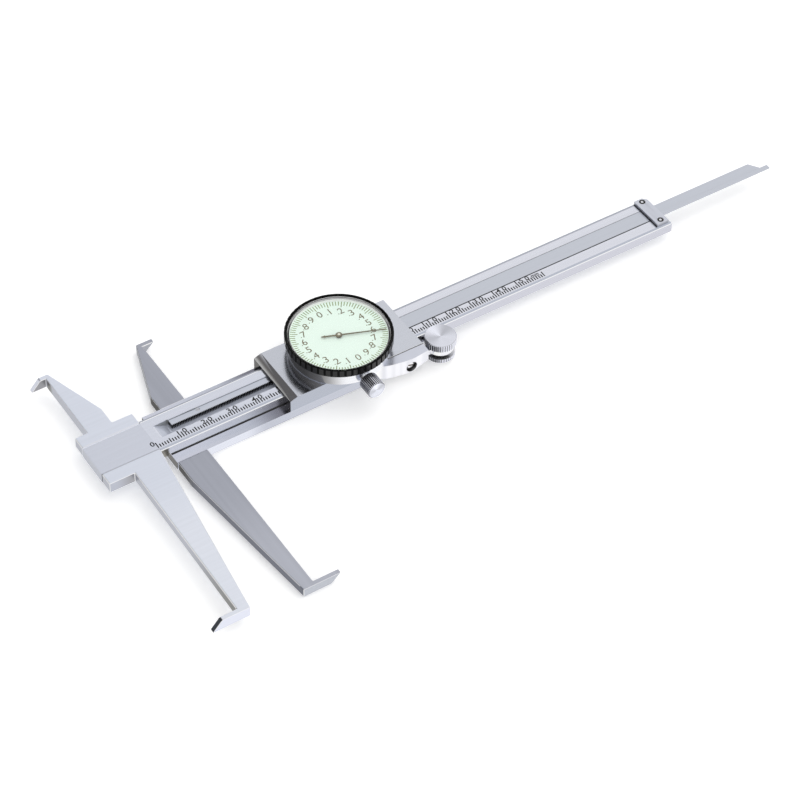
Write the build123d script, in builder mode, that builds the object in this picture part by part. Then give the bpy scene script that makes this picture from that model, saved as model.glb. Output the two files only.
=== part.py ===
# Inside groove dial caliper, in millimetres.
# Origin: where the dial's axis meets the back face of the slider plate, on which the caliper lies.
# +X runs along the beam towards the depth rod's end, +Y points to the upper jaws, +Z out of the dial.
import os
from math import asin, cos, degrees, pi, radians, sin, tan

from build123d import *

os.makedirs("parts", exist_ok=True)

# Reading and the places that it sets
reading = 48.62          # distance between the measuring edges as the caliper is stored
index_to_dial = 27.38    # from the slider's index edge to the dial's axis
tip_reach = 23.3         # each measuring edge stands this far to the left of its zero
index_x = -index_to_dial
zero_x = index_x - reading

# Clearances
running_gap = 0.05       # between the sliding faces, and around turning pins
tooth_play = 0.06        # taken off each side of a gear tooth

# Slider plate and moving jaws
plate_t = 3.6
plate_w = 24.8
plate_left = 45.02       # from the index edge back to the plate's left end
slider_right = 26.4
beam_back = plate_t + running_gap

# Beam
beam_w = 16.0
beam_t = 4.0
beam_top = beam_back + beam_t
head_len = 22.3
beam_run = 216.3         # from the zero line to the right end
land_w = 13.8
bevel_drop = 0.35
beam_right = zero_x + beam_run
head_left = zero_x - head_len

# Groove in the beam, with the cutter's run-out at its left end
groove_low = -2.7
groove_w = 6.25
groove_depth = 2.4
runout_start = 2.75
runout_len = 5.25
groove_high = groove_low + groove_w
groove_floor = beam_top - groove_depth

# Fixed jaws
jaw_t = 4.2
jaw_top = beam_back + jaw_t
stem_shoulder = 12.6     # the lower stem's left edge at the head, left of zero
lower_tip_left = 13.45   # stem edges at the hooks, left of zero
lower_tip_right = 9.2
lower_reach = 82.9       # from the centreline to the lower tips
hook_h = 1.85
upper_left = 17.5
upper_right = 7.95
upper_knee = 19.8
upper_tip_right = 16.0
upper_reach = 44.4
hook_bevel = 3.6

# Moving jaws, measured from the index edge
lower_foot_left = 44.82
lower_foot_end = 21.8
moving_lower_tip = 37.77
moving_lower_right = 33.1
upper_foot_left = 37.8
upper_foot_end = 31.5
moving_upper_tip = 29.7
moving_upper_right = 28.1

# Sleeve of the slider
sleeve_t = 1.95
index_chamfer = 2.9
index_lip = 0.85
tunnel_half = beam_w / 2 + running_gap
tunnel_top = beam_top + running_gap
sleeve_top = tunnel_top + sleeve_t

# Gib and its screws
gib_t = 0.9
gib_len = 48.0
gib_screw_r = 1.1
gib_screw_x = 17.0
tunnel_high = tunnel_half + gib_t

# Rack and gear train
pitch = 0.625
rack_start = 8.8
rack_run = 181.0
rack_tip_y = 0.65
rack_top = beam_top - 0.55
rack_screw_x = 11.2
rack_screw_inset = 0.9
rack_screw_r = 0.75
rack_screw_shank = 0.4
module = pitch / pi
pinion_teeth = 16
wheel_module = 0.2
wheel_teeth = 60
centre_teeth = 12
arbor_r = 0.6
addendum = 0.9
dedendum = 1.2
pressure = radians(20)
centre_distance = wheel_module * (wheel_teeth + centre_teeth) / 2
pinion_r = module * pinion_teeth / 2
arbor_y = rack_tip_y + addendum * module - pinion_r
arbor_x = (centre_distance**2 - arbor_y**2) ** 0.5
arbor_turn = degrees(asin(arbor_y / centre_distance))

# Depth rod and end plate
rod_t = 0.43
rod_w = 5.95
rod_left = 10.6
rod_end = 266.5          # from zero
rod_shoulder = 6.0
rod_slant = 2.8
rod_tongue_w = 1.9
rivet_x = 15.0
rivet_pitch = 7.0
rivet_r = 0.8
end_plate_left = 210.4
end_plate_w = 5.1
end_plate_low = -6.9
end_plate_high = 8.0
end_plate_t = 1.2
end_plate_corner = 1.6
end_screw_r = 1.2
end_screw_shank = 0.6
end_screw_inset = 1.75

# Dial case
case_r = 18.0
case_h = 4.8
case_wall = 1.4
case_floor = 1.2
neck_r = case_r - 0.75
neck_h = 0.65
case_top = sleeve_top + case_h
floor_top = sleeve_top + case_floor
ring_wire = 0.3

# Bezel, crystal and dial face
bezel_r = case_r + 1.25
bezel_h = 3.55
bezel_lip_r = bezel_r - 1.15
bezel_lip_drop = 0.5     # the lip slopes down to the crystal
bezel_chamfer = 0.35
crystal_r = bezel_lip_r + 0.3
crystal_t = 0.6
skirt_r = bezel_lip_r - 0.7
face_t = 0.5
face_hole_r = 1.0
flutes = 50
flute_r = 0.4
bezel_low = case_top + running_gap
bezel_ledge = case_top + neck_h + 0.1
bezel_top = bezel_low + bezel_h
crystal_low = bezel_top - bezel_lip_drop - 0.1 - crystal_t
face_top = bezel_ledge + face_t

# Movement inside the case
bush_r = 1.3
bridge_r = case_r - case_wall - 1.2
bridge_t = 0.8
bridge_low = floor_top + 2.2
pillar_r = 1.0
pillar_circle = bridge_r - 1.4
pillar_angles = (90, 217, 323)
bridge_slot_len = 11.0
bridge_slot_w = 6.0
bridge_slot_y = -0.53 * bridge_r
bridge_screw_h = 0.45
bridge_screw_r = 1.0
small_shank_r = 0.5
wheel_t = 0.5
wheel_hole_circle = 3.4
wheel_hole_r = 1.2
drive_wheel_low = floor_top + 0.35
backlash_wheel_low = drive_wheel_low + wheel_t + 0.35
spring_turns = 4
spring_sides = 14
spring_t = 0.14
spring_h = 0.5
spring_step = 0.75
collet_r = 1.0
case_screw_circle = case_r - case_wall - 3.5
case_screw_y = (tunnel_high + plate_w / 2) / 2
case_screw_x = (case_screw_circle**2 - case_screw_y**2) ** 0.5
case_screw_h = 0.6
case_screw_len = 2.5
case_screw_r = 1.1
case_shank_r = 0.6

# Pointer
pointer_angle = 90 - 360 * (reading % 2) / 2
pointer_len = bezel_lip_r - 1.4
pointer_tail = 6.4
pointer_w = 0.42
pointer_t = 0.15
pointer_hub_r = 1.15
hub_stem_r = 0.85
pointer_low = face_top + 0.55

# Bezel clamp screw
clamp_x = -0.35
clamp_z = 11.0
clamp_r = 3.1
clamp_len = 5.2
clamp_stand = 2.0        # from the case's wall to the head
clamp_boss_r = 1.7
clamp_shank_r = 0.9
clamp_dome = 0.3
clamp_chamfer = 0.4
clamp_knurls = 32
clamp_head_y = -case_r - clamp_stand
clamp_front_y = clamp_head_y - clamp_len + clamp_dome

# Lock screw on the far side of the slider
lock_x = 0.0
lock_z = beam_back + beam_t / 2
lock_r = 3.0
lock_len = 6.0
lock_neck = 0.8
lock_shank_r = 1.2
lock_knurls = 32

# Thumb roller and its bracket
roller_r = 5.75
roller_x = slider_right + 7.3
roller_y = -beam_w / 2 - running_gap - roller_r
roller_top = sleeve_top + 0.4
roller_disc = 3.0
roller_dish = 0.5        # the disc's top face is a shallow hollow cone
roller_shaft_r = 1.6
roller_knurls = 44
waist_r = 3.0
waist_h = 1.45
flange_r = 5.45
flange_t = 1.65
flange_knurls = 40
arm_r = 5.1
arm_t = 2.1
arm_front = 1.7          # the arm's straight edge lies this far outside the roller's axis
arm_low = roller_top - roller_disc - 0.1 - arm_t
flange_top = arm_low - 0.1 - waist_h
flange_low = flange_top - flange_t
seat_t = 1.0             # thickness of the slider's pad for the bracket
seat_slant = 2.0
seat_y = -plate_w / 2 - seat_t
bracket_len = 21.4
bracket_left = slider_right - bracket_len
bracket_curve = [(4.4, 2.65), (8.7, 3.75)]
bracket_peak = 6.0       # from the right end to where the bracket stands out most
bracket_fall = 0.65
bracket_slope = 7.4
bracket_out = 4.5
bracket_low = 3.2
bracket_top = sleeve_top - 0.1
bracket_front = seat_y - bracket_out
bracket_screw_x = slider_right - 7.3
bracket_screw_z = 5.6
bracket_bore_r = 2.15
bracket_bore_depth = 2.2
bracket_screw_r = 1.8
bracket_screw_h = 1.2
bracket_shank_r = 0.9
bracket_thread = plate_w / 2 - tunnel_half - 0.85
seam = 0.15

knurl_out = 0.12
knurl_w = 0.42
knurl_d = 0.3
slot_w = 0.3
slot_depth = 0.35


def gear_points(teeth, mod, turn=0.0):
    """Corner points of a spur gear with straight flanks, one tooth centred on the angle turn."""
    pitch_r = mod * teeth / 2
    tip_r = pitch_r + addendum * mod
    root_r = pitch_r - dedendum * mod
    half = mod * pi / 4 - tooth_play / 2
    slope = tan(pressure + pi / 2 / teeth)
    tip_half = half - slope * addendum * mod
    root_half = half + tan(pressure) * dedendum * mod
    corners = [(root_r, -root_half), (tip_r, -tip_half), (tip_r, tip_half), (root_r, root_half)]
    points = []
    for tooth in range(teeth):
        centre = radians(turn) + 2 * pi * tooth / teeth
        for r, side in corners:
            angle = centre + side / r
            points.append((r * cos(angle), r * sin(angle)))
    return points


def rack_points(teeth):
    """Outline of the rack: teeth along its lower side, straight back against the groove's wall."""
    tip_half = pitch / 4 - tooth_play / 2 - tan(pressure) * addendum * module
    root_half = pitch / 4 - tooth_play / 2 + tan(pressure) * dedendum * module
    root_y = rack_tip_y + (addendum + dedendum) * module
    points = [(rack_x0, groove_high), (rack_x0, root_y)]
    for tooth in range(teeth):
        middle = rack_x0 + (tooth + 0.5) * pitch
        points += [(middle - root_half, root_y), (middle - tip_half, rack_tip_y)]
        points += [(middle + tip_half, rack_tip_y), (middle + root_half, root_y)]
    points += [(rack_x0 + teeth * pitch, root_y), (rack_x0 + teeth * pitch, groove_high)]
    return points


def spiral_points(aside):
    """Points of the hairspring's spiral, moved outwards by aside."""
    points = []
    for step in range(spring_turns * spring_sides + 1):
        turned = step / spring_sides
        r = collet_r - 0.1 + spring_step * turned + aside
        points.append((r * cos(2 * pi * turned), r * sin(2 * pi * turned)))
    return points


# The rack starts a whole number of teeth before the pinion, so that a tooth meets a gap
teeth_before = round((arbor_x - zero_x - rack_start) / pitch - 0.5)
rack_x0 = arbor_x - (teeth_before + 0.5) * pitch
rack_teeth = round(rack_run / pitch)
rack_x1 = rack_x0 + rack_teeth * pitch
rack_screws = [
    (x, groove_high - rack_screw_inset) for x in (rack_x0 + rack_screw_x, rack_x1 - rack_screw_x)
]

end_plate_x = zero_x + end_plate_left
end_screws = [
    (end_plate_x + end_plate_w / 2, end_plate_low + end_screw_inset),
    (end_plate_x + end_plate_w / 2, end_plate_high - end_screw_inset),
]

# Beam, narrower in the head where the jaw plates lie along it
with BuildPart() as beam:
    with BuildSketch(Plane.XY.offset(beam_back)):
        with Locations((head_left, 0)):
            Rectangle(head_len, land_w, align=(Align.MIN, Align.CENTER))
        with Locations((zero_x, 0)):
            Rectangle(beam_run, beam_w, align=(Align.MIN, Align.CENTER))
    extrude(amount=beam_t)
    with BuildSketch(Plane.YZ.offset(zero_x)):
        for side in (-1, 1):
            with BuildLine():
                Polyline(
                    (side * land_w / 2, beam_top),
                    (side * beam_w / 2, beam_top),
                    (side * beam_w / 2, beam_top - bevel_drop),
                    close=True,
                )
            make_face()
    extrude(amount=beam_run, mode=Mode.SUBTRACT)
    with BuildSketch(Plane.XZ.offset(-groove_low)):
        with BuildLine():
            Polyline(
                (zero_x + runout_start, beam_top),
                (zero_x + runout_start + runout_len, groove_floor),
                (beam_right, groove_floor),
                (beam_right, beam_top),
                close=True,
            )
        make_face()
    extrude(amount=-groove_w, mode=Mode.SUBTRACT)
    with BuildSketch(Plane.XY.offset(groove_floor)):
        with Locations(rack_screws):
            Circle(rack_screw_shank)
    extrude(amount=-1.0, mode=Mode.SUBTRACT)
    with BuildSketch(Plane.XY.offset(beam_top)):
        with Locations(end_screws):
            Circle(end_screw_shank)
    extrude(amount=-2.0, mode=Mode.SUBTRACT)
beam.part.label = "beam"
export_step(beam.part, "parts/beam.step")

# Fixed jaws: flat plates along the head, each ending in a hook with a 45 degree measuring edge
fixed_edge = zero_x - tip_reach
with BuildPart() as fixed_jaw_lower:
    with BuildSketch(Plane.XY.offset(beam_back)):
        with BuildLine():
            Polyline(
                (head_left, -land_w / 2),
                (head_left, -plate_w / 2),
                (zero_x - stem_shoulder, -plate_w / 2),
                (zero_x - lower_tip_left, -lower_reach + hook_h),
                (fixed_edge, -lower_reach + hook_h),
                (fixed_edge, -lower_reach),
                (zero_x - lower_tip_right, -lower_reach),
                (zero_x, -beam_w / 2),
                (zero_x, -land_w / 2),
                close=True,
            )
        make_face()
    extrude(amount=jaw_t)
    with BuildSketch(Plane.XZ.offset(lower_reach)):
        with BuildLine():
            Polyline(
                (fixed_edge, beam_back),
                (fixed_edge + hook_bevel, jaw_top),
                (fixed_edge, jaw_top),
                close=True,
            )
        make_face()
    extrude(amount=-hook_h, mode=Mode.SUBTRACT)
fixed_jaw_lower.part.label = "fixed_jaw_lower"
export_step(fixed_jaw_lower.part, "parts/fixed_jaw_lower.step")

with BuildPart() as fixed_jaw_upper:
    with BuildSketch(Plane.XY.offset(beam_back)):
        with BuildLine():
            Polyline(
                (head_left, land_w / 2),
                (head_left, plate_w / 2),
                (zero_x - upper_left, plate_w / 2),
                (zero_x - upper_left, upper_reach - hook_h),
                (fixed_edge, upper_reach - hook_h),
                (fixed_edge, upper_reach),
                (zero_x - upper_tip_right, upper_reach),
                (zero_x - upper_right, upper_knee),
                (zero_x - upper_right, plate_w / 2),
                (zero_x, plate_w / 2),
                (zero_x, land_w / 2),
                close=True,
            )
        make_face()
    extrude(amount=jaw_t)
    with BuildSketch(Plane.XZ.offset(-upper_reach)):
        with BuildLine():
            Polyline(
                (fixed_edge, beam_back),
                (fixed_edge + hook_bevel, jaw_top),
                (fixed_edge, jaw_top),
                close=True,
            )
        make_face()
    extrude(amount=hook_h, mode=Mode.SUBTRACT)
fixed_jaw_upper.part.label = "fixed_jaw_upper"
export_step(fixed_jaw_upper.part, "parts/fixed_jaw_upper.step")

# Rack against the groove's upper wall, held by two small countersunk screws
with BuildPart() as rack:
    with BuildSketch(Plane.XY.offset(groove_floor)):
        with BuildLine():
            Polyline(*rack_points(rack_teeth), close=True)
        make_face()
    extrude(amount=rack_top - groove_floor)
    with Locations(*[(x, y, rack_top) for x, y in rack_screws]):
        CounterSinkHole(rack_screw_shank, rack_screw_r)
rack.part.label = "rack"
export_step(rack.part, "parts/rack.step")

rack_head = rack_screw_r - rack_screw_shank
with BuildPart() as rack_screws_part:
    with BuildSketch(Plane.XY.offset(groove_floor - 1.0)):
        with Locations(rack_screws):
            Circle(rack_screw_shank)
    extrude(amount=rack_top - groove_floor + 1.0)
    for x, y in rack_screws:
        with Locations((x, y, rack_top - rack_head / 2)):
            Cone(rack_screw_shank, rack_screw_r, rack_head)
        with Locations((x, y, rack_top)):
            Box(2 * rack_screw_r, slot_w, slot_depth, mode=Mode.SUBTRACT)
rack_screws_part.part.label = "rack_screws"
export_step(rack_screws_part.part, "parts/rack_screws.step")

# End plate across the groove, which keeps the depth rod in it
with BuildPart() as rod_end_plate:
    with BuildSketch(Plane.XY.offset(beam_top)):
        with BuildLine():
            Polyline(
                (end_plate_x, end_plate_low),
                (end_plate_x + end_plate_w, end_plate_low),
                (end_plate_x + end_plate_w, end_plate_high - end_plate_corner),
                (end_plate_x + end_plate_w - end_plate_corner, end_plate_high),
                (end_plate_x, end_plate_high),
                close=True,
            )
        make_face()
    extrude(amount=end_plate_t)
    with Locations(*[(x, y, beam_top + end_plate_t) for x, y in end_screws]):
        CounterSinkHole(end_screw_shank, end_screw_r)
rod_end_plate.part.label = "rod_end_plate"
export_step(rod_end_plate.part, "parts/rod_end_plate.step")

end_head = end_screw_r - end_screw_shank
with BuildPart() as end_plate_screws:
    with BuildSketch(Plane.XY.offset(beam_top - 2.0)):
        with Locations(end_screws):
            Circle(end_screw_shank)
    extrude(amount=2.0 + end_plate_t)
    for x, y in end_screws:
        with Locations((x, y, beam_top + end_plate_t - end_head / 2)):
            Cone(end_screw_shank, end_screw_r, end_head)
        with Locations((x, y, beam_top + end_plate_t)):
            Box(2 * end_screw_r, slot_w, slot_depth, mode=Mode.SUBTRACT)
end_plate_screws.part.label = "end_plate_screws"
export_step(end_plate_screws.part, "parts/end_plate_screws.step")

# Slider: a long plate under the beam, and a sleeve around it under the dial
rod_low = beam_top - 0.02 - rod_t
rivets = [(rivet_x, rod_w / 2 + groove_low + 0.15), (rivet_x + rivet_pitch, rod_w / 2 + groove_low + 0.15)]
case_screws = [(sx * case_screw_x, sy * case_screw_y) for sx in (-1, 1) for sy in (-1, 1)]
gib_screws = [-gib_screw_x, gib_screw_x]
with BuildPart() as slider_body:
    with BuildSketch():
        with Locations((index_x - plate_left, 0)):
            Rectangle(plate_left + index_to_dial + slider_right, plate_w, align=(Align.MIN, Align.CENTER))
    extrude(amount=plate_t)
    with BuildSketch(Plane.XY.offset(plate_t)):
        with Locations((index_x, 0)):
            Rectangle(index_to_dial + slider_right, plate_w, align=(Align.MIN, Align.CENTER))
    extrude(amount=sleeve_top - plate_t)
    with BuildSketch(Plane.XY.offset(bracket_low)):
        with BuildLine():
            Polyline(
                (bracket_left - seat_slant, -plate_w / 2),
                (bracket_left, seat_y),
                (slider_right, seat_y),
                (slider_right, -plate_w / 2),
                close=True,
            )
        make_face()
    extrude(amount=sleeve_top - bracket_low)
    with BuildSketch(Plane.YZ.offset(slider_right)):
        with BuildLine():
            Polyline(
                (seat_y, sleeve_top),
                (seat_y, sleeve_top - seam),
                (seat_y + seam, sleeve_top),
                close=True,
            )
        make_face()
    extrude(amount=-bracket_len, mode=Mode.SUBTRACT)
    with BuildSketch(Plane.YZ.offset(index_x)):
        with BuildLine():
            Polyline(
                (-tunnel_half, plate_t),
                (tunnel_high, plate_t),
                (tunnel_high, tunnel_top),
                (-tunnel_half, tunnel_top),
                close=True,
            )
        make_face()
    extrude(amount=index_to_dial + slider_right, mode=Mode.SUBTRACT)
    with BuildSketch(Plane.XZ.offset(-plate_w / 2)):
        with BuildLine():
            Polyline(
                (index_x, tunnel_top + index_lip),
                (index_x + index_chamfer, sleeve_top),
                (index_x, sleeve_top),
                close=True,
            )
        make_face()
    extrude(amount=plate_w, mode=Mode.SUBTRACT)
    with BuildSketch(Plane.XY.offset(sleeve_top)):
        with Locations((arbor_x, arbor_y)):
            Circle(pinion_r + 0.5)
    extrude(amount=-sleeve_t, mode=Mode.SUBTRACT)
    with BuildSketch(Plane.XY.offset(sleeve_top)):
        with Locations(case_screws):
            Circle(case_shank_r)
    extrude(amount=-case_screw_len, mode=Mode.SUBTRACT)
    with BuildSketch(Plane.XY.offset(tunnel_top)):
        with Locations(rivets):
            Circle(rivet_r)
    extrude(amount=1.2, mode=Mode.SUBTRACT)
    with BuildSketch(Plane.XZ.offset(-plate_w / 2)):
        with Locations(*[(x, lock_z) for x in gib_screws]):
            Circle(gib_screw_r)
        with Locations((lock_x, lock_z)):
            Circle(lock_shank_r + running_gap)
    extrude(amount=plate_w / 2 - tunnel_high, mode=Mode.SUBTRACT)
    with BuildSketch(Plane.XZ.offset(-seat_y)):
        with Locations((bracket_screw_x, bracket_screw_z)):
            Circle(bracket_shank_r)
    extrude(amount=-seat_t - bracket_thread, mode=Mode.SUBTRACT)
slider_body.part.label = "slider_body"
export_step(slider_body.part, "parts/slider_body.step")

# Moving jaws in the plane of the slider plate, with their measuring edges on top
moving_edge = index_x - tip_reach
with BuildPart() as moving_jaw_lower:
    with BuildSketch():
        with BuildLine():
            Polyline(
                (index_x - lower_foot_left, -plate_w / 2),
                (index_x - lower_foot_left, -lower_foot_end),
                (index_x - moving_lower_tip, -lower_reach),
                (moving_edge, -lower_reach),
                (moving_edge, -lower_reach + hook_h),
                (index_x - moving_lower_right, -lower_reach + hook_h),
                (index_x - moving_lower_right, -plate_w / 2),
                close=True,
            )
        make_face()
    extrude(amount=plate_t)
    with BuildSketch(Plane.XZ.offset(lower_reach)):
        with BuildLine():
            Polyline(
                (moving_edge, plate_t),
                (moving_edge - plate_t, 0),
                (moving_edge, 0),
                close=True,
            )
        make_face()
    extrude(amount=-hook_h, mode=Mode.SUBTRACT)
moving_jaw_lower.part.label = "moving_jaw_lower"
export_step(moving_jaw_lower.part, "parts/moving_jaw_lower.step")

with BuildPart() as moving_jaw_upper:
    with BuildSketch():
        with BuildLine():
            Polyline(
                (index_x - upper_foot_left, plate_w / 2),
                (index_x - moving_upper_right, plate_w / 2),
                (index_x - moving_upper_right, upper_reach - hook_h),
                (moving_edge, upper_reach - hook_h),
                (moving_edge, upper_reach),
                (index_x - moving_upper_tip, upper_reach),
                (index_x - upper_foot_left, upper_foot_end - plate_w / 2),
                close=True,
            )
        make_face()
    extrude(amount=plate_t)
    with BuildSketch(Plane.XZ.offset(-upper_reach)):
        with BuildLine():
            Polyline(
                (moving_edge, plate_t),
                (moving_edge - plate_t, 0),
                (moving_edge, 0),
                close=True,
            )
        make_face()
    extrude(amount=hook_h, mode=Mode.SUBTRACT)
moving_jaw_upper.part.label = "moving_jaw_upper"
export_step(moving_jaw_upper.part, "parts/moving_jaw_upper.step")

# Depth rod: a thin strip in the groove over the rack, narrowed to a tongue at its free end
rod_low_y = groove_low + 0.15
with BuildPart() as depth_rod:
    with BuildSketch(Plane.XY.offset(rod_low)):
        with BuildLine():
            Polyline(
                (rod_left, rod_low_y),
                (zero_x + rod_end, rod_low_y),
                (zero_x + rod_end, rod_low_y + rod_tongue_w),
                (zero_x + rod_end - rod_shoulder + rod_slant, rod_low_y + rod_tongue_w),
                (zero_x + rod_end - rod_shoulder, rod_low_y + rod_w),
                (rod_left, rod_low_y + rod_w),
                close=True,
            )
        make_face()
    extrude(amount=rod_t)
    with BuildSketch(Plane.XY.offset(rod_low)):
        with Locations(rivets):
            Circle(rivet_r)
    extrude(amount=rod_t, mode=Mode.SUBTRACT)
depth_rod.part.label = "depth_rod"
export_step(depth_rod.part, "parts/depth_rod.step")

with BuildPart() as rod_rivets:
    with BuildSketch(Plane.XY.offset(rod_low)):
        with Locations(rivets):
            Circle(rivet_r)
    extrude(amount=tunnel_top - rod_low + 1.2)
rod_rivets.part.label = "rod_rivets"
export_step(rod_rivets.part, "parts/rod_rivets.step")

# Gib strip between the beam and the slider's upper wall
with BuildPart() as gib_strip:
    with BuildSketch(Plane.XY.offset(beam_back)):
        with Locations((0, tunnel_half)):
            Rectangle(gib_len, gib_t, align=(Align.CENTER, Align.MIN))
    extrude(amount=beam_t)
gib_strip.part.label = "gib_strip"
export_step(gib_strip.part, "parts/gib_strip.step")

with BuildPart() as gib_screws_part:
    with BuildSketch(Plane.XZ.offset(-tunnel_high)):
        with Locations(*[(x, lock_z) for x in gib_screws]):
            Circle(gib_screw_r)
    extrude(amount=-(plate_w / 2 - tunnel_high - 0.3))
    for x in gib_screws:
        with Locations((x, plate_w / 2 - 0.3, lock_z)):
            Box(2 * gib_screw_r, 2 * slot_depth, slot_w, mode=Mode.SUBTRACT)
gib_screws_part.part.label = "gib_screws"
export_step(gib_screws_part.part, "parts/gib_screws.step")

# Bracket on the slider's lower side, whose arm carries the thumb roller
with BuildPart() as roller_bracket:
    with BuildSketch(Plane.XY.offset(bracket_low)):
        with BuildLine():
            Spline(
                (bracket_left, seat_y),
                *[(bracket_left + along, seat_y - out) for along, out in bracket_curve],
                (slider_right - bracket_peak, bracket_front),
                tangents=[(1, -0.65), (1, 0)],
            )
            Polyline(
                (slider_right - bracket_peak, bracket_front),
                (slider_right, bracket_front + bracket_fall),
                (slider_right, seat_y),
                (bracket_left, seat_y),
            )
        make_face()
    extrude(amount=bracket_top - bracket_low)
    with BuildSketch(Plane.XZ.offset(-seat_y)):
        with BuildLine():
            Polyline(
                (slider_right - bracket_slope, bracket_low),
                (slider_right, bracket_low),
                (slider_right, arm_low),
                close=True,
            )
        make_face()
    extrude(amount=bracket_out, mode=Mode.SUBTRACT)
    with BuildSketch(Plane.YZ.offset(slider_right)):
        with BuildLine():
            Polyline(
                (seat_y, bracket_top),
                (seat_y, bracket_top - seam),
                (seat_y - seam, bracket_top),
                close=True,
            )
        make_face()
    extrude(amount=-bracket_len, mode=Mode.SUBTRACT)
    with BuildSketch(Plane.XY.offset(arm_low)):
        with BuildLine():
            Polyline(
                (slider_right - 1, seat_y),
                (slider_right - 1, roller_y - arm_front),
                (roller_x, roller_y - arm_front),
                (roller_x, roller_y + arm_front),
                (slider_right, seat_y),
                close=True,
            )
        make_face()
        with Locations((roller_x, roller_y)):
            Circle(arm_r)
            Circle(roller_shaft_r + running_gap, mode=Mode.SUBTRACT)
    extrude(amount=arm_t)
    with BuildSketch(Plane.XZ.offset(-bracket_front + 0.1)):
        with Locations((bracket_screw_x, bracket_screw_z)):
            Circle(bracket_bore_r)
    extrude(amount=-bracket_bore_depth - 0.1, mode=Mode.SUBTRACT)
    with BuildSketch(Plane.XZ.offset(-bracket_front)):
        with Locations((bracket_screw_x, bracket_screw_z)):
            Circle(bracket_shank_r)
    extrude(amount=-bracket_out, mode=Mode.SUBTRACT)
roller_bracket.part.label = "roller_bracket"
export_step(roller_bracket.part, "parts/roller_bracket.step")

bracket_head_y = bracket_front + bracket_bore_depth
with BuildPart() as bracket_screw:
    with BuildSketch(Plane.XZ.offset(plate_w / 2 - bracket_thread)):
        with Locations((bracket_screw_x, bracket_screw_z)):
            Circle(bracket_shank_r)
    extrude(amount=bracket_thread - plate_w / 2 - bracket_head_y)
    with BuildSketch(Plane.XZ.offset(-bracket_head_y)):
        with Locations((bracket_screw_x, bracket_screw_z)):
            Circle(bracket_screw_r)
    extrude(amount=bracket_screw_h)
    with Locations((bracket_screw_x, bracket_head_y - bracket_screw_h, bracket_screw_z)):
        Box(2 * bracket_screw_r, 2 * slot_depth, 2 * slot_w, rotation=(0, 20, 0), mode=Mode.SUBTRACT)
bracket_screw.part.label = "bracket_screw"
export_step(bracket_screw.part, "parts/bracket_screw.step")

# Thumb roller: a knurled disc that rolls on the beam's lower edge, on a shaft through the arm
with BuildPart() as thumb_roller:
    with BuildSketch(Plane.XZ.offset(-roller_y)):
        with BuildLine():
            Polyline(
                (roller_x, flange_low),
                (roller_x + roller_shaft_r, flange_low),
                (roller_x + roller_shaft_r, roller_top - roller_disc),
                (roller_x + roller_r - 0.2, roller_top - roller_disc),
                (roller_x + roller_r, roller_top - roller_disc + 0.2),
                (roller_x + roller_r, roller_top - 0.25),
                (roller_x + roller_r - 0.25, roller_top),
                (roller_x, roller_top - roller_dish),
                close=True,
            )
        make_face()
    revolve(axis=Axis((roller_x, roller_y, 0), (0, 0, 1)))
    with BuildSketch(Plane.XY.offset(roller_top)):
        with Locations((roller_x, roller_y)):
            with PolarLocations(roller_r + knurl_out, roller_knurls):
                Rectangle(knurl_w, knurl_d, rotation=45)
    extrude(amount=-roller_disc, mode=Mode.SUBTRACT)
thumb_roller.part.label = "thumb_roller"
export_step(thumb_roller.part, "parts/thumb_roller.step")

# Second knurled wheel below the arm, with a waist up to it
with BuildPart() as roller_flange:
    with BuildSketch(Plane.XZ.offset(-roller_y)):
        with BuildLine():
            Polyline(
                (roller_x + roller_shaft_r, flange_low),
                (roller_x + flange_r, flange_low),
                (roller_x + flange_r, flange_top),
                (roller_x + waist_r + 0.6, flange_top),
                (roller_x + waist_r, flange_top + waist_h),
                (roller_x + roller_shaft_r, flange_top + waist_h),
                close=True,
            )
        make_face()
    revolve(axis=Axis((roller_x, roller_y, 0), (0, 0, 1)))
    with BuildSketch(Plane.XY.offset(flange_top)):
        with Locations((roller_x, roller_y)):
            with PolarLocations(flange_r + knurl_out, flange_knurls):
                Rectangle(knurl_w, knurl_d, rotation=45)
    extrude(amount=-flange_t, mode=Mode.SUBTRACT)
roller_flange.part.label = "roller_flange"
export_step(roller_flange.part, "parts/roller_flange.step")

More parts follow.
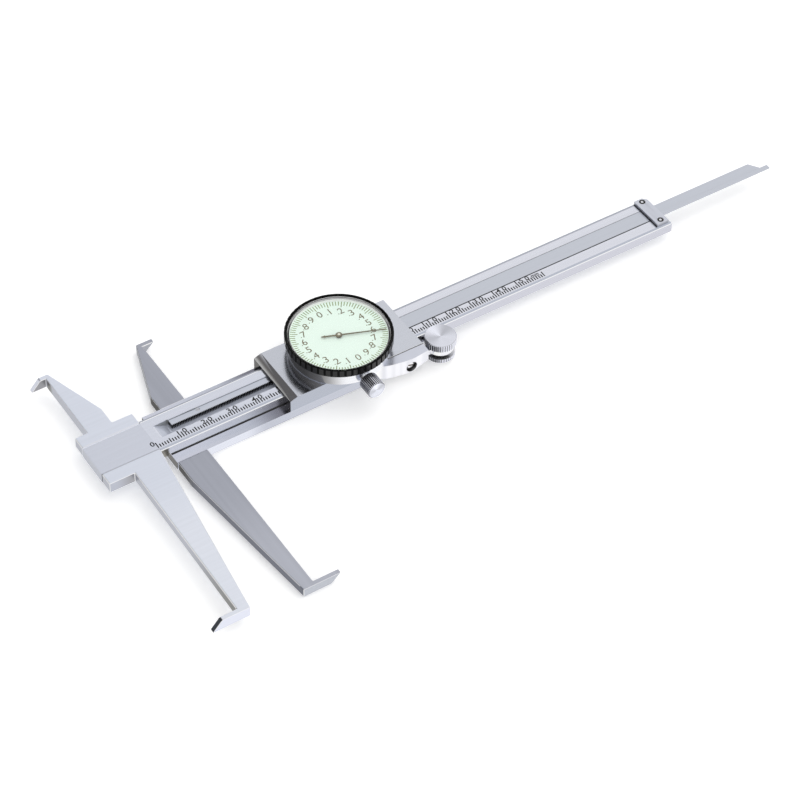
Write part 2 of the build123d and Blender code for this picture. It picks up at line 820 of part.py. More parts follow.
# Dial case: a shallow cup on the slider, with a neck that the bezel turns on
arbors = [(0, 0), (arbor_x, arbor_y), (-arbor_x, -arbor_y)]
pillars = [
    (pillar_circle * cos(radians(a)), pillar_circle * sin(radians(a))) for a in pillar_angles
]
with BuildPart() as dial_case:
    with BuildSketch(Plane.XZ):
        with BuildLine():
            Polyline(
                (0, sleeve_top),
                (case_r - 0.3, sleeve_top),
                (case_r, sleeve_top + 0.3),
                (case_r, case_top),
                (neck_r, case_top),
                (neck_r, case_top + 0.2),
                (neck_r - 0.25, case_top + 0.2),
                (neck_r - 0.25, case_top + 0.2 + ring_wire),
                (neck_r, case_top + 0.2 + ring_wire),
                (neck_r, case_top + neck_h),
                (case_r - case_wall, case_top + neck_h),
                (case_r - case_wall, floor_top),
                (0, floor_top),
                close=True,
            )
        make_face()
    revolve(axis=Axis.Z)
    with BuildSketch(Plane.XZ.offset(case_r - 0.5)):
        with Locations((clamp_x, clamp_z)):
            Circle(clamp_boss_r)
    extrude(amount=clamp_stand + 0.5 - 0.15)
    with BuildSketch(Plane.XZ.offset(case_r - case_wall - 0.1)):
        with Locations((clamp_x, clamp_z)):
            Circle(clamp_shank_r + running_gap)
    extrude(amount=clamp_stand + case_wall + 0.2, mode=Mode.SUBTRACT)
    with BuildSketch(Plane.XY.offset(floor_top)):
        with Locations(arbors):
            Circle(bush_r)
        with Locations(case_screws):
            Circle(case_shank_r)
    extrude(amount=-case_floor, mode=Mode.SUBTRACT)
    with BuildSketch(Plane.XY.offset(floor_top)):
        with Locations(case_screws):
            Circle(case_screw_r)
    extrude(amount=-case_screw_h, mode=Mode.SUBTRACT)
dial_case.part.label = "dial_case"
export_step(dial_case.part, "parts/dial_case.step")

with BuildPart() as case_screws_part:
    with BuildSketch(Plane.XY.offset(floor_top)):
        with Locations(case_screws):
            Circle(case_shank_r)
    extrude(amount=-case_floor - case_screw_len)
    with BuildSketch(Plane.XY.offset(floor_top)):
        with Locations(case_screws):
            Circle(case_screw_r)
    extrude(amount=-case_screw_h)
    for x, y in case_screws:
        with Locations((x, y, floor_top)):
            Box(2 * case_screw_r, slot_w, slot_depth, mode=Mode.SUBTRACT)
case_screws_part.part.label = "case_screws"
export_step(case_screws_part.part, "parts/case_screws.step")

# Split wire ring in the neck's groove, which gives the bezel its drag
with BuildPart() as bezel_ring:
    with BuildSketch(Plane.XY.offset(case_top + 0.2)):
        Circle(neck_r + 0.05)
        Circle(neck_r - 0.25, mode=Mode.SUBTRACT)
        with Locations((0, neck_r)):
            Rectangle(2.0, 2.0, mode=Mode.SUBTRACT)
    extrude(amount=ring_wire)
bezel_ring.part.label = "bezel_ring"
export_step(bezel_ring.part, "parts/bezel_ring.step")

# Movement: bushes, pillars, bridge and its screws
with BuildPart() as arbor_bushes:
    with BuildSketch(Plane.XY.offset(sleeve_top)):
        with Locations(arbors):
            Circle(bush_r)
            Circle(arbor_r + running_gap, mode=Mode.SUBTRACT)
    extrude(amount=case_floor)
    with BuildSketch(Plane.XY.offset(bridge_low)):
        with Locations(arbors):
            Circle(bush_r)
            Circle(arbor_r + running_gap, mode=Mode.SUBTRACT)
    extrude(amount=bridge_t)
arbor_bushes.part.label = "arbor_bushes"
export_step(arbor_bushes.part, "parts/arbor_bushes.step")

with BuildPart() as bridge_pillars:
    with BuildSketch(Plane.XY.offset(floor_top)):
        with Locations(pillars):
            Circle(pillar_r)
            Circle(small_shank_r, mode=Mode.SUBTRACT)
    extrude(amount=bridge_low - floor_top)
bridge_pillars.part.label = "bridge_pillars"
export_step(bridge_pillars.part, "parts/bridge_pillars.step")

with BuildPart() as movement_bridge:
    with BuildSketch(Plane.XY.offset(bridge_low)):
        Circle(bridge_r)
        with Locations(arbors):
            Circle(bush_r, mode=Mode.SUBTRACT)
        with Locations(pillars):
            Circle(small_shank_r, mode=Mode.SUBTRACT)
        with Locations((0, bridge_slot_y)):
            SlotOverall(bridge_slot_len, bridge_slot_w, mode=Mode.SUBTRACT)
    extrude(amount=bridge_t)
movement_bridge.part.label = "movement_bridge"
export_step(movement_bridge.part, "parts/movement_bridge.step")

with BuildPart() as bridge_screws:
    with BuildSketch(Plane.XY.offset(floor_top)):
        with Locations(pillars):
            Circle(small_shank_r)
    extrude(amount=bridge_low + bridge_t - floor_top)
    with BuildSketch(Plane.XY.offset(bridge_low + bridge_t)):
        with Locations(pillars):
            Circle(bridge_screw_r)
    extrude(amount=bridge_screw_h)
    for x, y in pillars:
        with Locations((x, y, bridge_low + bridge_t + bridge_screw_h)):
            Box(2 * bridge_screw_r, slot_w, slot_depth, mode=Mode.SUBTRACT)
bridge_screws.part.label = "bridge_screws"
export_step(bridge_screws.part, "parts/bridge_screws.step")

# Rack pinion with its arbor, and the drive wheel on it
gap_up = 90 + 180 / pinion_teeth
with BuildPart() as rack_pinion:
    with BuildSketch(Plane((arbor_x, arbor_y, groove_floor + 0.15))):
        with BuildLine():
            Polyline(*gear_points(pinion_teeth, module, gap_up), close=True)
        make_face()
    extrude(amount=rack_top - groove_floor - 0.25)
    with BuildSketch(Plane.XY.offset(groove_floor + 0.15)):
        with Locations((arbor_x, arbor_y)):
            Circle(arbor_r)
    extrude(amount=bridge_low + bridge_t - groove_floor - 0.15)
rack_pinion.part.label = "rack_pinion"
export_step(rack_pinion.part, "parts/rack_pinion.step")

with BuildPart() as drive_wheel:
    with BuildSketch(Plane((arbor_x, arbor_y, drive_wheel_low))):
        with BuildLine():
            Polyline(*gear_points(wheel_teeth, wheel_module, 180 + arbor_turn), close=True)
        make_face()
        Circle(arbor_r, mode=Mode.SUBTRACT)
        with PolarLocations(wheel_hole_circle, 4):
            Circle(wheel_hole_r, mode=Mode.SUBTRACT)
    extrude(amount=wheel_t)
drive_wheel.part.label = "drive_wheel"
export_step(drive_wheel.part, "parts/drive_wheel.step")

# Backlash wheel on the other side of the centre pinion, with its hairspring
with BuildPart() as backlash_wheel:
    with BuildSketch(Plane((-arbor_x, -arbor_y, backlash_wheel_low))):
        with BuildLine():
            Polyline(*gear_points(wheel_teeth, wheel_module, arbor_turn), close=True)
        make_face()
        with PolarLocations(wheel_hole_circle, 4):
            Circle(wheel_hole_r, mode=Mode.SUBTRACT)
    extrude(amount=wheel_t)
    with BuildSketch(Plane.XY.offset(sleeve_top + 0.05)):
        with Locations((-arbor_x, -arbor_y)):
            Circle(arbor_r)
    extrude(amount=bridge_low + bridge_t - sleeve_top - 0.05)
backlash_wheel.part.label = "backlash_wheel"
export_step(backlash_wheel.part, "parts/backlash_wheel.step")

with BuildPart() as hairspring:
    with BuildSketch(Plane((-arbor_x, -arbor_y, floor_top + 0.15))):
        with BuildLine():
            Polyline(*spiral_points(-spring_t / 2), *reversed(spiral_points(spring_t / 2)), close=True)
        make_face()
        Circle(collet_r)
        Circle(arbor_r + running_gap, mode=Mode.SUBTRACT)
    extrude(amount=spring_h)
hairspring.part.label = "hairspring"
export_step(hairspring.part, "parts/hairspring.step")

# Centre pinion on the arbor that carries the pointer
with BuildPart() as centre_pinion:
    with BuildSketch(Plane.XY.offset(floor_top + 0.1)):
        with BuildLine():
            Polyline(*gear_points(centre_teeth, wheel_module, arbor_turn + 180 / centre_teeth), close=True)
        make_face()
    extrude(amount=bridge_low - floor_top - 0.2)
    with BuildSketch(Plane.XY.offset(sleeve_top + 0.05)):
        Circle(arbor_r)
    extrude(amount=pointer_low + pointer_t - sleeve_top - 0.05)
centre_pinion.part.label = "centre_pinion"
export_step(centre_pinion.part, "parts/centre_pinion.step")

# Pointer: a needle with a small arrowhead on its tail, and the hub that holds it
with BuildPart() as pointer:
    with BuildSketch(Plane.XY.offset(pointer_low).rotated((0, 0, pointer_angle))):
        with BuildLine():
            Polyline(
                (pointer_len, 0.08),
                (0, pointer_w / 2),
                (-pointer_tail + 1.6, pointer_w / 2),
                (-pointer_tail + 1.5, 0.42),
                (-pointer_tail, 0),
                (-pointer_tail + 1.5, -0.42),
                (-pointer_tail + 1.6, -pointer_w / 2),
                (0, -pointer_w / 2),
                (pointer_len, -0.08),
                close=True,
            )
        make_face()
        Circle(pointer_hub_r)
        Circle(hub_stem_r, mode=Mode.SUBTRACT)
    extrude(amount=pointer_t)
pointer.part.label = "pointer"
export_step(pointer.part, "parts/pointer.step")

with BuildPart() as pointer_hub:
    with BuildSketch(Plane.XZ):
        with BuildLine():
            Polyline(
                (0, pointer_low + pointer_t),
                (arbor_r, pointer_low + pointer_t),
                (arbor_r, pointer_low - 0.3),
                (hub_stem_r, pointer_low - 0.3),
                (hub_stem_r, pointer_low + pointer_t),
                (pointer_hub_r, pointer_low + pointer_t),
                (pointer_hub_r, pointer_low + pointer_t + 0.15),
                (pointer_hub_r - 0.15, pointer_low + pointer_t + 0.3),
                (0, pointer_low + pointer_t + 0.3),
                close=True,
            )
        make_face()
    revolve(axis=Axis.Z)
pointer_hub.part.label = "pointer_hub"
export_step(pointer_hub.part, "parts/pointer_hub.step")

# Bezel with fluted rim; it turns on the case's neck and carries the face and the crystal
with BuildPart() as bezel:
    with BuildSketch(Plane.XZ):
        with BuildLine():
            Polyline(
                (neck_r + 0.1, bezel_low),
                (bezel_r - bezel_chamfer, bezel_low),
                (bezel_r, bezel_low + bezel_chamfer),
                (bezel_r, bezel_top - bezel_chamfer),
                (bezel_r - bezel_chamfer, bezel_top),
                (bezel_lip_r, bezel_top - bezel_lip_drop),
                (bezel_lip_r, crystal_low + crystal_t),
                (crystal_r, crystal_low + crystal_t),
                (crystal_r, crystal_low),
                (bezel_lip_r, crystal_low),
                (bezel_lip_r, bezel_ledge),
                (neck_r + 0.1, bezel_ledge),
                close=True,
            )
        make_face()
    revolve(axis=Axis.Z)
    with BuildSketch(Plane.XY.offset(bezel_top)):
        with PolarLocations(bezel_r + 0.05, flutes):
            Circle(flute_r)
    extrude(amount=-bezel_h, mode=Mode.SUBTRACT)
bezel.part.label = "bezel"
export_step(bezel.part, "parts/bezel.step")

# Crystal: a disc sprung into the bezel, with a skirt that holds the face down
with BuildPart() as crystal:
    with BuildSketch(Plane.XY.offset(crystal_low)):
        Circle(crystal_r)
    extrude(amount=crystal_t)
    with BuildSketch(Plane.XY.offset(crystal_low)):
        Circle(bezel_lip_r)
        Circle(skirt_r, mode=Mode.SUBTRACT)
    extrude(amount=face_top - crystal_low)
crystal.part.label = "crystal"
export_step(crystal.part, "parts/crystal.step")

with BuildPart() as dial_face:
    with BuildSketch(Plane.XY.offset(bezel_ledge)):
        Circle(bezel_lip_r)
        Circle(face_hole_r, mode=Mode.SUBTRACT)
    extrude(amount=face_t)
dial_face.part.label = "dial_face"
export_step(dial_face.part, "parts/dial_face.step")

# Knurled clamp screw for the bezel
with BuildPart() as bezel_clamp_screw:
    with BuildSketch(Plane.XY.offset(clamp_z)):
        with BuildLine():
            Polyline(
                (clamp_x, clamp_front_y - clamp_dome),
                (clamp_x, clamp_head_y),
                (clamp_x + clamp_r, clamp_head_y),
                (clamp_x + clamp_r, clamp_front_y + clamp_chamfer),
                (clamp_x + clamp_r - clamp_chamfer, clamp_front_y),
            )
            TangentArc(
                (clamp_x, clamp_front_y - clamp_dome),
                (clamp_x + clamp_r - clamp_chamfer, clamp_front_y),
                tangent=(1, 0),
                tangent_from_first=True,
            )
        make_face()
    revolve(axis=Axis((clamp_x, 0, clamp_z), (0, 1, 0)))
    with BuildSketch(Plane.XZ.offset(-clamp_head_y)):
        with Locations((clamp_x, clamp_z)):
            with PolarLocations(clamp_r + knurl_out, clamp_knurls):
                Rectangle(knurl_w, knurl_d, rotation=45)
    extrude(amount=clamp_len - clamp_chamfer, mode=Mode.SUBTRACT)
    with BuildSketch(Plane.XZ.offset(case_r - case_wall + 0.2)):
        with Locations((clamp_x, clamp_z)):
            Circle(clamp_shank_r)
    extrude(amount=clamp_stand + case_wall - 0.2)
bezel_clamp_screw.part.label = "bezel_clamp_screw"
export_step(bezel_clamp_screw.part, "parts/bezel_clamp_screw.step")

# Knurled lock screw behind the dial, which presses the gib on the beam
with BuildPart() as slider_lock_screw:
    with BuildSketch(Plane.XZ.offset(-tunnel_high - running_gap)):
        with Locations((lock_x, lock_z)):
            Circle(lock_shank_r)
    extrude(amount=-(plate_w / 2 + lock_neck - tunnel_high - running_gap))
    with BuildSketch(Plane.XZ.offset(-plate_w / 2 - lock_neck)):
        with Locations((lock_x, lock_z)):
            Circle(lock_r)
            with PolarLocations(lock_r + knurl_out, lock_knurls):
                Rectangle(knurl_w, knurl_d, rotation=45, mode=Mode.SUBTRACT)
    extrude(amount=-lock_len)
slider_lock_screw.part.label = "slider_lock_screw"
export_step(slider_lock_screw.part, "parts/slider_lock_screw.step")
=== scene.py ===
# %% [markdown]
# # Inside groove dial caliper
# A caliper for grooves inside a bore. Two pairs of thin jaws end in hooks that point outwards, and a
# dial shows the last two millimetres of the distance between their edges. The solids come from the
# CAD model, so this lesson is about finish: ground steel, printed and engraved marks, a black bezel
# and a pale green dial under a crystal.

# %% Load the frame
import math

import bmesh
import bpy
from mathutils import Matrix, Vector


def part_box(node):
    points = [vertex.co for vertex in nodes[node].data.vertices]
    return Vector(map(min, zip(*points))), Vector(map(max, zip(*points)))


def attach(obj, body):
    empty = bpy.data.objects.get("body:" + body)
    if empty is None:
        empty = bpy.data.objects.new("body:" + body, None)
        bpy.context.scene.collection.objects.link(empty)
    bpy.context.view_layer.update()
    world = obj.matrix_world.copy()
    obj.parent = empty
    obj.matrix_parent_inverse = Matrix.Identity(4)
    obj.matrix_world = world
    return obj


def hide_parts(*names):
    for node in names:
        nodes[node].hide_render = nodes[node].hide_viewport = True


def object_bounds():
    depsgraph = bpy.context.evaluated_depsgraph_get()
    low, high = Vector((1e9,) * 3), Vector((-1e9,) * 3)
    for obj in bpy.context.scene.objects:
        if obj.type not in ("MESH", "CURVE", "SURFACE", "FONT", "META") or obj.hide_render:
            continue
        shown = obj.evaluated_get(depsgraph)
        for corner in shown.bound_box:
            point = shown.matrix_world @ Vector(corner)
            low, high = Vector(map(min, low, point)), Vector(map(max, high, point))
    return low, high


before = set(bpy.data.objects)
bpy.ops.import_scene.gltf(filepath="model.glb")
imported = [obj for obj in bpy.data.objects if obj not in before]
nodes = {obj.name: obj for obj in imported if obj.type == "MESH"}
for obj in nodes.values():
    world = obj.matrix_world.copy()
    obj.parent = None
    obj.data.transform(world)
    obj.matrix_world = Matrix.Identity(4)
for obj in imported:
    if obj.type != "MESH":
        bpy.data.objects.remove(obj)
cad_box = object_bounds()

# %% [markdown]
# The camera stands where the photograph was taken from. Its three angles and its distance come from
# the millimetre lines of the beam, which give a picture's perspective exactly. It is made first, since
# everything else is judged through it.

# %% Camera at the photograph's angle
tilt, azimuth, roll = (math.radians(a) for a in (46.399, 33.901, 1.487))
camera_place = Vector((-0.35222, -0.56343, 0.68149))
sensor = 36.0
lens = 120.98

right = Vector((math.cos(azimuth), -math.sin(azimuth), 0))
ground = Vector((math.sin(azimuth), math.cos(azimuth), 0))
forward = math.cos(tilt) * ground - Vector((0, 0, math.sin(tilt)))
up = math.sin(tilt) * ground + Vector((0, 0, math.cos(tilt)))
rolled_right = math.cos(roll) * right + math.sin(roll) * up
rolled_up = math.cos(roll) * up - math.sin(roll) * right

camera_data = bpy.data.cameras.new("photo_camera")
camera_data.lens = lens
camera_data.sensor_width = sensor
camera = bpy.data.objects.new("photo_camera", camera_data)
turn = Matrix((rolled_right, rolled_up, -forward)).transposed().to_4x4()
camera.matrix_world = Matrix.Translation(camera_place) @ turn
bpy.context.scene.collection.objects.link(camera)
bpy.context.scene.camera = camera
print("camera", tuple(round(c, 3) for c in camera_place), "lens", lens)

# %% [markdown]
# Every finish is a small graph of nodes. Written as plain arithmetic it stays readable, so one class
# wraps a socket and lets Python's own signs add the Math nodes. The signs have reflected forms, so that
# 1 - mask works as it does on paper.

# %% Shader maths as Python expressions
class Signal:
    """A value that changes over a surface."""

    def __init__(self, graph, socket):
        self.graph = graph
        self.socket = socket

    def math(self, operation, *values):
        """Applies a Math operation to this signal and the values after it."""
        return self.join(operation, self, *values)

    def join(self, operation, *values):
        inputs = dict(enumerate(values))
        return self.graph.node("ShaderNodeMath", {"operation": operation}, inputs)

    def between(self, low, high):
        """Goes smoothly from 0 to 1 while this signal goes from low to high."""
        settings = {"interpolation_type": "SMOOTHSTEP"}
        return self.graph.node("ShaderNodeMapRange", settings, {0: self, 1: low, 2: high})

    def __add__(self, other):
        return self.join("ADD", self, other)

    def __radd__(self, other):
        return self.join("ADD", other, self)

    def __sub__(self, other):
        return self.join("SUBTRACT", self, other)

    def __rsub__(self, other):
        return self.join("SUBTRACT", other, self)

    def __mul__(self, other):
        return self.join("MULTIPLY", self, other)

    def __rmul__(self, other):
        return self.join("MULTIPLY", other, self)

    def __pow__(self, other):
        return self.join("POWER", self, other)


def from_axis(across, above):
    """Distance from an axis, out of two distances that are square to it and to each other."""
    return (across * across + above * above) ** 0.5


# %% [markdown]
# Any other node comes from one method, which takes the node's type, its settings and the values or
# links of its sockets. A finish is such a graph that ends in a Principled shader. What is the same all
# over goes straight on the shader, and only what changes over the surface is linked to it.

# %% Node graphs and finishes
class Graph:
    """A node tree that values are worked out in."""

    def __init__(self, tree):
        self.tree = tree

    def node(self, kind, settings=None, inputs=None, output=0):
        made = self.tree.nodes.new(kind)
        for key, value in (settings or {}).items():
            setattr(made, key, value)
        for socket, value in (inputs or {}).items():
            self.plug(made.inputs[socket], value)
        return Signal(self, made.outputs[output])

    def plug(self, socket, value):
        if isinstance(value, Signal):
            self.tree.links.new(value.socket, socket)
        else:
            socket.default_value = value

    def coordinates(self, output):
        """The three parts of a texture coordinate, each a signal."""
        where = self.node("ShaderNodeTexCoord", output=output)
        return [self.node("ShaderNodeSeparateXYZ", inputs={0: where}, output=i) for i in range(3)]


class Finish(Graph):
    """A material under construction."""

    def __init__(self, name, **fixed):
        self.material = bpy.data.materials.new(name)
        self.material.use_nodes = True
        super().__init__(self.material.node_tree)
        self.shader = self.tree.nodes["Principled BSDF"]
        for socket, value in fixed.items():
            self.shader.inputs[socket.replace("_", " ")].default_value = value

    def feed(self, **signals):
        for socket, value in signals.items():
            self.plug(self.shader.inputs[socket.replace("_", " ")], value)
        return self.material

    def place(self, scale):
        """The point on the surface in metres, in the piece's own frame, stretched by scale."""
        where = self.node("ShaderNodeTexCoord", output="Object")
        return self.node("ShaderNodeMapping", inputs={"Vector": where, "Scale": scale})

    def noise(self, scale, detail=2.0, roughness=0.5):
        grain = {"Vector": self.place(scale), "Scale": 1.0, "Detail": detail, "Roughness": roughness}
        return self.node("ShaderNodeTexNoise", inputs=grain)

    def tint(self, amount, dark, light):
        """A colour from dark, at 0, to light, at 1. A Mix node takes colours at sockets 6 and 7."""
        inputs = {0: amount, 6: dark, 7: light}
        return self.node("ShaderNodeMix", {"data_type": "RGBA"}, inputs, output=2)

    def bump(self, height, depth, strength):
        inputs = {"Height": height, "Distance": depth, "Strength": strength}
        return self.node("ShaderNodeBump", inputs=inputs)


def dress(finish, *names):
    """Gives CAD pieces a finish in all their slots."""
    for name in names:
        for material_slot in nodes[name].material_slots:
            material_slot.material = finish
    print(finish.name, "on", ", ".join(names))


def shade(colour, factor):
    """A colour made lighter or darker, but no lighter than white."""
    return tuple(min(1.0, c * factor) for c in colour[:3]) + (1.0,)


# %% [markdown]
# The CAD edges are perfectly sharp, and a sharp edge never catches light. Real ones are broken with a
# stone or chamfered, and show as thin bright lines. The jaws have the widest, nearly half a
# millimetre. New solids with cut edges would also do it, but modifiers leave the CAD meshes as they
# came. A Weld joins the facets first, so that the Bevel after it finds only true edges.

# %% Broken edges
mm = 0.001
weld_distance = 1e-6
true_edge = math.radians(35)


def soften(width, *names):
    for name in names:
        weld = nodes[name].modifiers.new("weld", "WELD")
        weld.merge_threshold = weld_distance
        edge = nodes[name].modifiers.new("broken_edge", "BEVEL")
        edge.width = width
        edge.segments = 2
        edge.limit_method = "ANGLE"
        edge.angle_limit = true_edge
        edge.harden_normals = True
    print("edges of", round(width / mm, 2), "mm on", ", ".join(names))


soften(0.4 * mm, "fixed_jaw_lower", "fixed_jaw_upper", "moving_jaw_lower", "moving_jaw_upper")
soften(0.3 * mm, "slider_body")
soften(0.2 * mm, "beam", "roller_bracket", "rack")
soften(0.1 * mm, "rod_end_plate")

# %% [markdown]
# Surface grinding leaves fine parallel lines. They catch light as one soft streak across the lines, so
# the finish is a noise stretched up to a few hundred times along the grinding direction. It moves
# colour, roughness and a very shallow bump together. A coarser noise adds broader lines, and a third
# one the slow change of tone that a hand-held part gets. Sides, bevels and hollows have tones of their
# own, laid on through masks: by where a point lies, with the dial's axis as zero, and by the way that
# the surface looks there. Most of these tones are painted light, shade and reflection.

# %% Ground steel
along_beam = (6, 2600, 2600)
slow_change = (14, 30, 30)
edge_highlight = (1.0, 1.0, 1.0)
bump_depth = 0.006 * mm


class GroundSteel(Finish):
    """Steel with fine parallel lines. Its methods lay other tones over the first one."""

    def __init__(self, name, tone, lines=along_beam, contrast=0.06):
        """Lines are the noise's scales in x, y and z, of which the smallest is along the grinding."""
        super().__init__(name, Metallic=1.0)
        self.contrast = contrast
        self.fine = self.noise(lines, detail=3.0, roughness=0.6)
        coarse = self.noise(tuple(s * 0.4 for s in lines), detail=0.0)
        slow = self.noise(slow_change, detail=1.0)
        self.mark = self.fine * 0.35 + coarse * 0.5 + slow * 0.15
        self.colour = self.grained(tone)
        # Below grows towards the long jaws. Left and front are 1 on the faces that look that way.
        self.x, self.y, self.z = self.coordinates("Object")
        self.below = 0 - self.y
        self.facing = self.coordinates("Normal")
        # Tones laid through left and front are painted shade and reflection, set by the way a face looks.
        self.left = (0 - self.facing[0]).between(0.15, 0.5)
        self.front = (0 - self.facing[1]).between(0.5, 0.95)

    def grained(self, tone):
        return self.tint(self.mark, shade(tone, 1 - self.contrast), shade(tone, 1 + self.contrast))

    def lay(self, mask, tone):
        self.colour = self.tint(mask, self.colour, self.grained(tone))

    def paint_edge_highlights(self, tip=0.0):
        """Paints highlights on the broken edges. At a tip, only the edges to front and back get them."""
        side, deep, up = self.facing
        deep = deep.math("ABSOLUTE")
        sloping = up.between(0.15, 0.35) * (1 - up.between(0.86, 0.92))
        corner = (0 - side).between(0.45, 0.55) * deep.between(0.45, 0.55)
        self.lay(sloping * (1 - tip * (1 - deep.between(0.2, 0.4))), edge_highlight)
        self.lay(corner, edge_highlight)

    def done(self, rough, bump=0.5, dull=None):
        """Dull is a mask of the places that are made less metallic, so that they look grey instead of
        bright.
        """
        normal = self.bump(self.fine, bump_depth, bump)
        if dull is not None:
            self.feed(Metallic=1 - dull)
        return self.feed(Base_Color=self.colour, Roughness=rough - 0.06 + self.fine * 0.12, Normal=normal)


# %% [markdown]
# The beam is one long bar. At its head two jaw plates lie along it, and the joints beside them get a
# painted highlight above and a painted shadow below. Past the head, each long edge has a narrow bevel
# that looks away from the light, so it is painted darker as shade, and the front faces carry painted
# reflections. The groove in the middle is milled, not ground; its hollow is painted darker as shade and
# made less metallic. Separate faces could carry separate finishes, but tones that fade into each other
# need masks.

# %% Beam
zero_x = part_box("fixed_jaw_upper")[1].x
beam_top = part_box("beam")[1].z
plate_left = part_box("slider_body")[0].x
groove_edge = 3.6 * mm


def beam_finish():
    steel = GroundSteel("beam_steel", (0.685, 0.71, 0.795))
    head = 1 - steel.x.between(zero_x - 0.2 * mm, zero_x)
    joint_highlight = head * steel.y.between(6.6 * mm, 6.7 * mm)
    joint_shadow = head * steel.below.between(6.65 * mm, 6.75 * mm)
    right_part = steel.x.between(-20 * mm, 30 * mm)
    before_plate = 1 - steel.x.between(plate_left - 1.2 * mm, plate_left - 0.2 * mm)
    bevel_shade_above = steel.facing[1].between(0.2, 0.28)
    bevel_shade_below = (0 - steel.facing[1]).between(0.2, 0.28)
    steel.lay(right_part, (0.73, 0.745, 0.815))
    steel.lay(head, (0.635, 0.66, 0.745))
    # Painted highlight and shadow at the joints, painted shade on the bevels, painted reflections on the
    # fronts.
    steel.lay(joint_highlight, (0.86, 0.88, 0.95))
    steel.lay(joint_shadow, (0.42, 0.44, 0.50))
    steel.lay(bevel_shade_above, (0.38, 0.40, 0.465))
    steel.lay(bevel_shade_below, (0.51, 0.54, 0.62))
    steel.lay(steel.front, (0.94, 0.95, 0.98))
    steel.lay(steel.front * right_part, (0.57, 0.575, 0.64))
    steel.lay(steel.front * before_plate, (0.26, 0.25, 0.23))
    steel.paint_edge_highlights()

    # Painted highlight lines along the long edges.
    low_edge_highlight = steel.below.between(7.6 * mm, 7.7 * mm) * (1 - steel.front)
    high_edge_highlight = steel.y.between(6.85 * mm, 6.95 * mm) * (1 - steel.y.between(7.25 * mm, 7.35 * mm))
    high_edge_highlight = high_edge_highlight * (1 - head) * (1 - right_part * 0.8)
    steel.lay(low_edge_highlight.math("MAXIMUM", high_edge_highlight) * steel.facing[2], (0.95, 0.96, 1.0))

    # Painted shade in the groove's hollow, darker on its upright wall; the hollow is also made less
    # metallic.
    inner = 1 - steel.y.math("ABSOLUTE").between(groove_edge, groove_edge + 0.1 * mm)
    past_zero = steel.x.between(zero_x + 1 * mm, zero_x + 2 * mm)
    under_top = 1 - steel.z.between(beam_top - 0.5 * mm, beam_top - 0.3 * mm)
    hollow = inner * past_zero * under_top
    steel.lay(hollow, (0.54, 0.57, 0.66))
    steel.lay(hollow * steel.front, (0.34, 0.35, 0.36))
    return steel.done(rough=0.24, dull=hollow * 0.75)


dress(beam_finish(), "beam")

# %% [markdown]
# The rack lies in the groove and drives the dial. Its teeth look to the front, and its left and front
# sides are painted near black, as shade. Below the teeth the front is plain again, painted a lighter grey
# and made less metallic, so height tells the two apart.

# %% Rack
foot_low, foot_high = 5.3 * mm, 6.6 * mm


def rack_finish():
    steel = GroundSteel("rack_steel", (0.60, 0.63, 0.71))
    foot = steel.front * (1 - steel.z.between(foot_low, foot_high))
    steel.paint_edge_highlights()
    # Painted shade: the left and front sides near black, the foot below the teeth lighter.
    steel.lay(steel.left, (0.02, 0.02, 0.02))
    steel.lay(steel.front, (0.003, 0.003, 0.003))
    steel.lay(foot, (0.50, 0.50, 0.52))
    return steel.done(rough=0.3, dull=foot * 0.7)


dress(rack_finish(), "rack")

# %% [markdown]
# The fixed jaws are flat plates that reach out from the head, and their hooks end in a measuring edge
# at 45 degrees. That edge is lapped and gets a painted dark reflection, while the left sides of the stems
# get a painted reflection of the table. Masks along the jaws give both, and the moving jaws' hooks start
# as far out as these.

# %% Fixed jaws
head_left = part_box("beam")[0].x
short_hook_start = 42 * mm
long_hook_start = 80.8 * mm
hook_fade = 0.2 * mm


def hook_masks(steel):
    """A mask for the short jaw's hook and one for the long jaw's."""
    return (steel.y.between(short_hook_start, short_hook_start + hook_fade),
            steel.below.between(long_hook_start, long_hook_start + hook_fade))


def fixed_jaw_finish():
    """Painted reflections: the stems' left sides go from pale to brown towards the hooks, whose bevels
    are dark.
    """
    steel = GroundSteel("head_steel", (0.75, 0.785, 0.88), lines=(60, 2200, 2200))
    short_hook, long_hook = hook_masks(steel)
    brown_stem = steel.below.between(45 * mm, 79 * mm)
    brown_corner = steel.y.between(37.5 * mm, 40 * mm) * (1 - steel.y.between(41.6 * mm, 41.8 * mm))
    head_front = steel.front * steel.x.between(head_left + 2 * mm, head_left + 9.5 * mm)
    short_front = steel.front * steel.y.between(30 * mm, 35 * mm)
    long_front = steel.front * steel.below.between(60 * mm, 70 * mm)
    steel.lay(steel.below.between(15 * mm, 45 * mm), (0.82, 0.85, 0.93))
    # Painted shade and reflection on the left and front sides, and a painted dark reflection on the long
    # hook's bevel.
    steel.lay(steel.left, (0.62, 0.64, 0.71))
    steel.lay(steel.left * brown_stem.math("MAXIMUM", brown_corner), (0.30, 0.30, 0.29))
    steel.lay(steel.front, (0.48, 0.50, 0.57))
    steel.lay(head_front, (0.36, 0.36, 0.38))
    steel.lay(short_front, (0.31, 0.31, 0.33))
    steel.lay(long_front, (0.74, 0.76, 0.86))
    steel.lay(steel.left * long_hook, (0.045, 0.05, 0.06))
    steel.paint_edge_highlights(short_hook + long_hook)

    # The joint's step gets a painted highlight above and a painted shadow below.
    reach = steel.y.math("ABSOLUTE")
    joint = reach.between(6.6 * mm, 6.8 * mm) * (1 - reach.between(7.25 * mm, 7.4 * mm))
    low_side = steel.below.between(0, 1 * mm)
    steel.lay(joint * (1 - low_side), (0.80, 0.82, 0.88))
    steel.lay(joint * low_side, (0.50, 0.52, 0.58))
    return steel.done(rough=0.34)


dress(fixed_jaw_finish(), "fixed_jaw_lower", "fixed_jaw_upper")

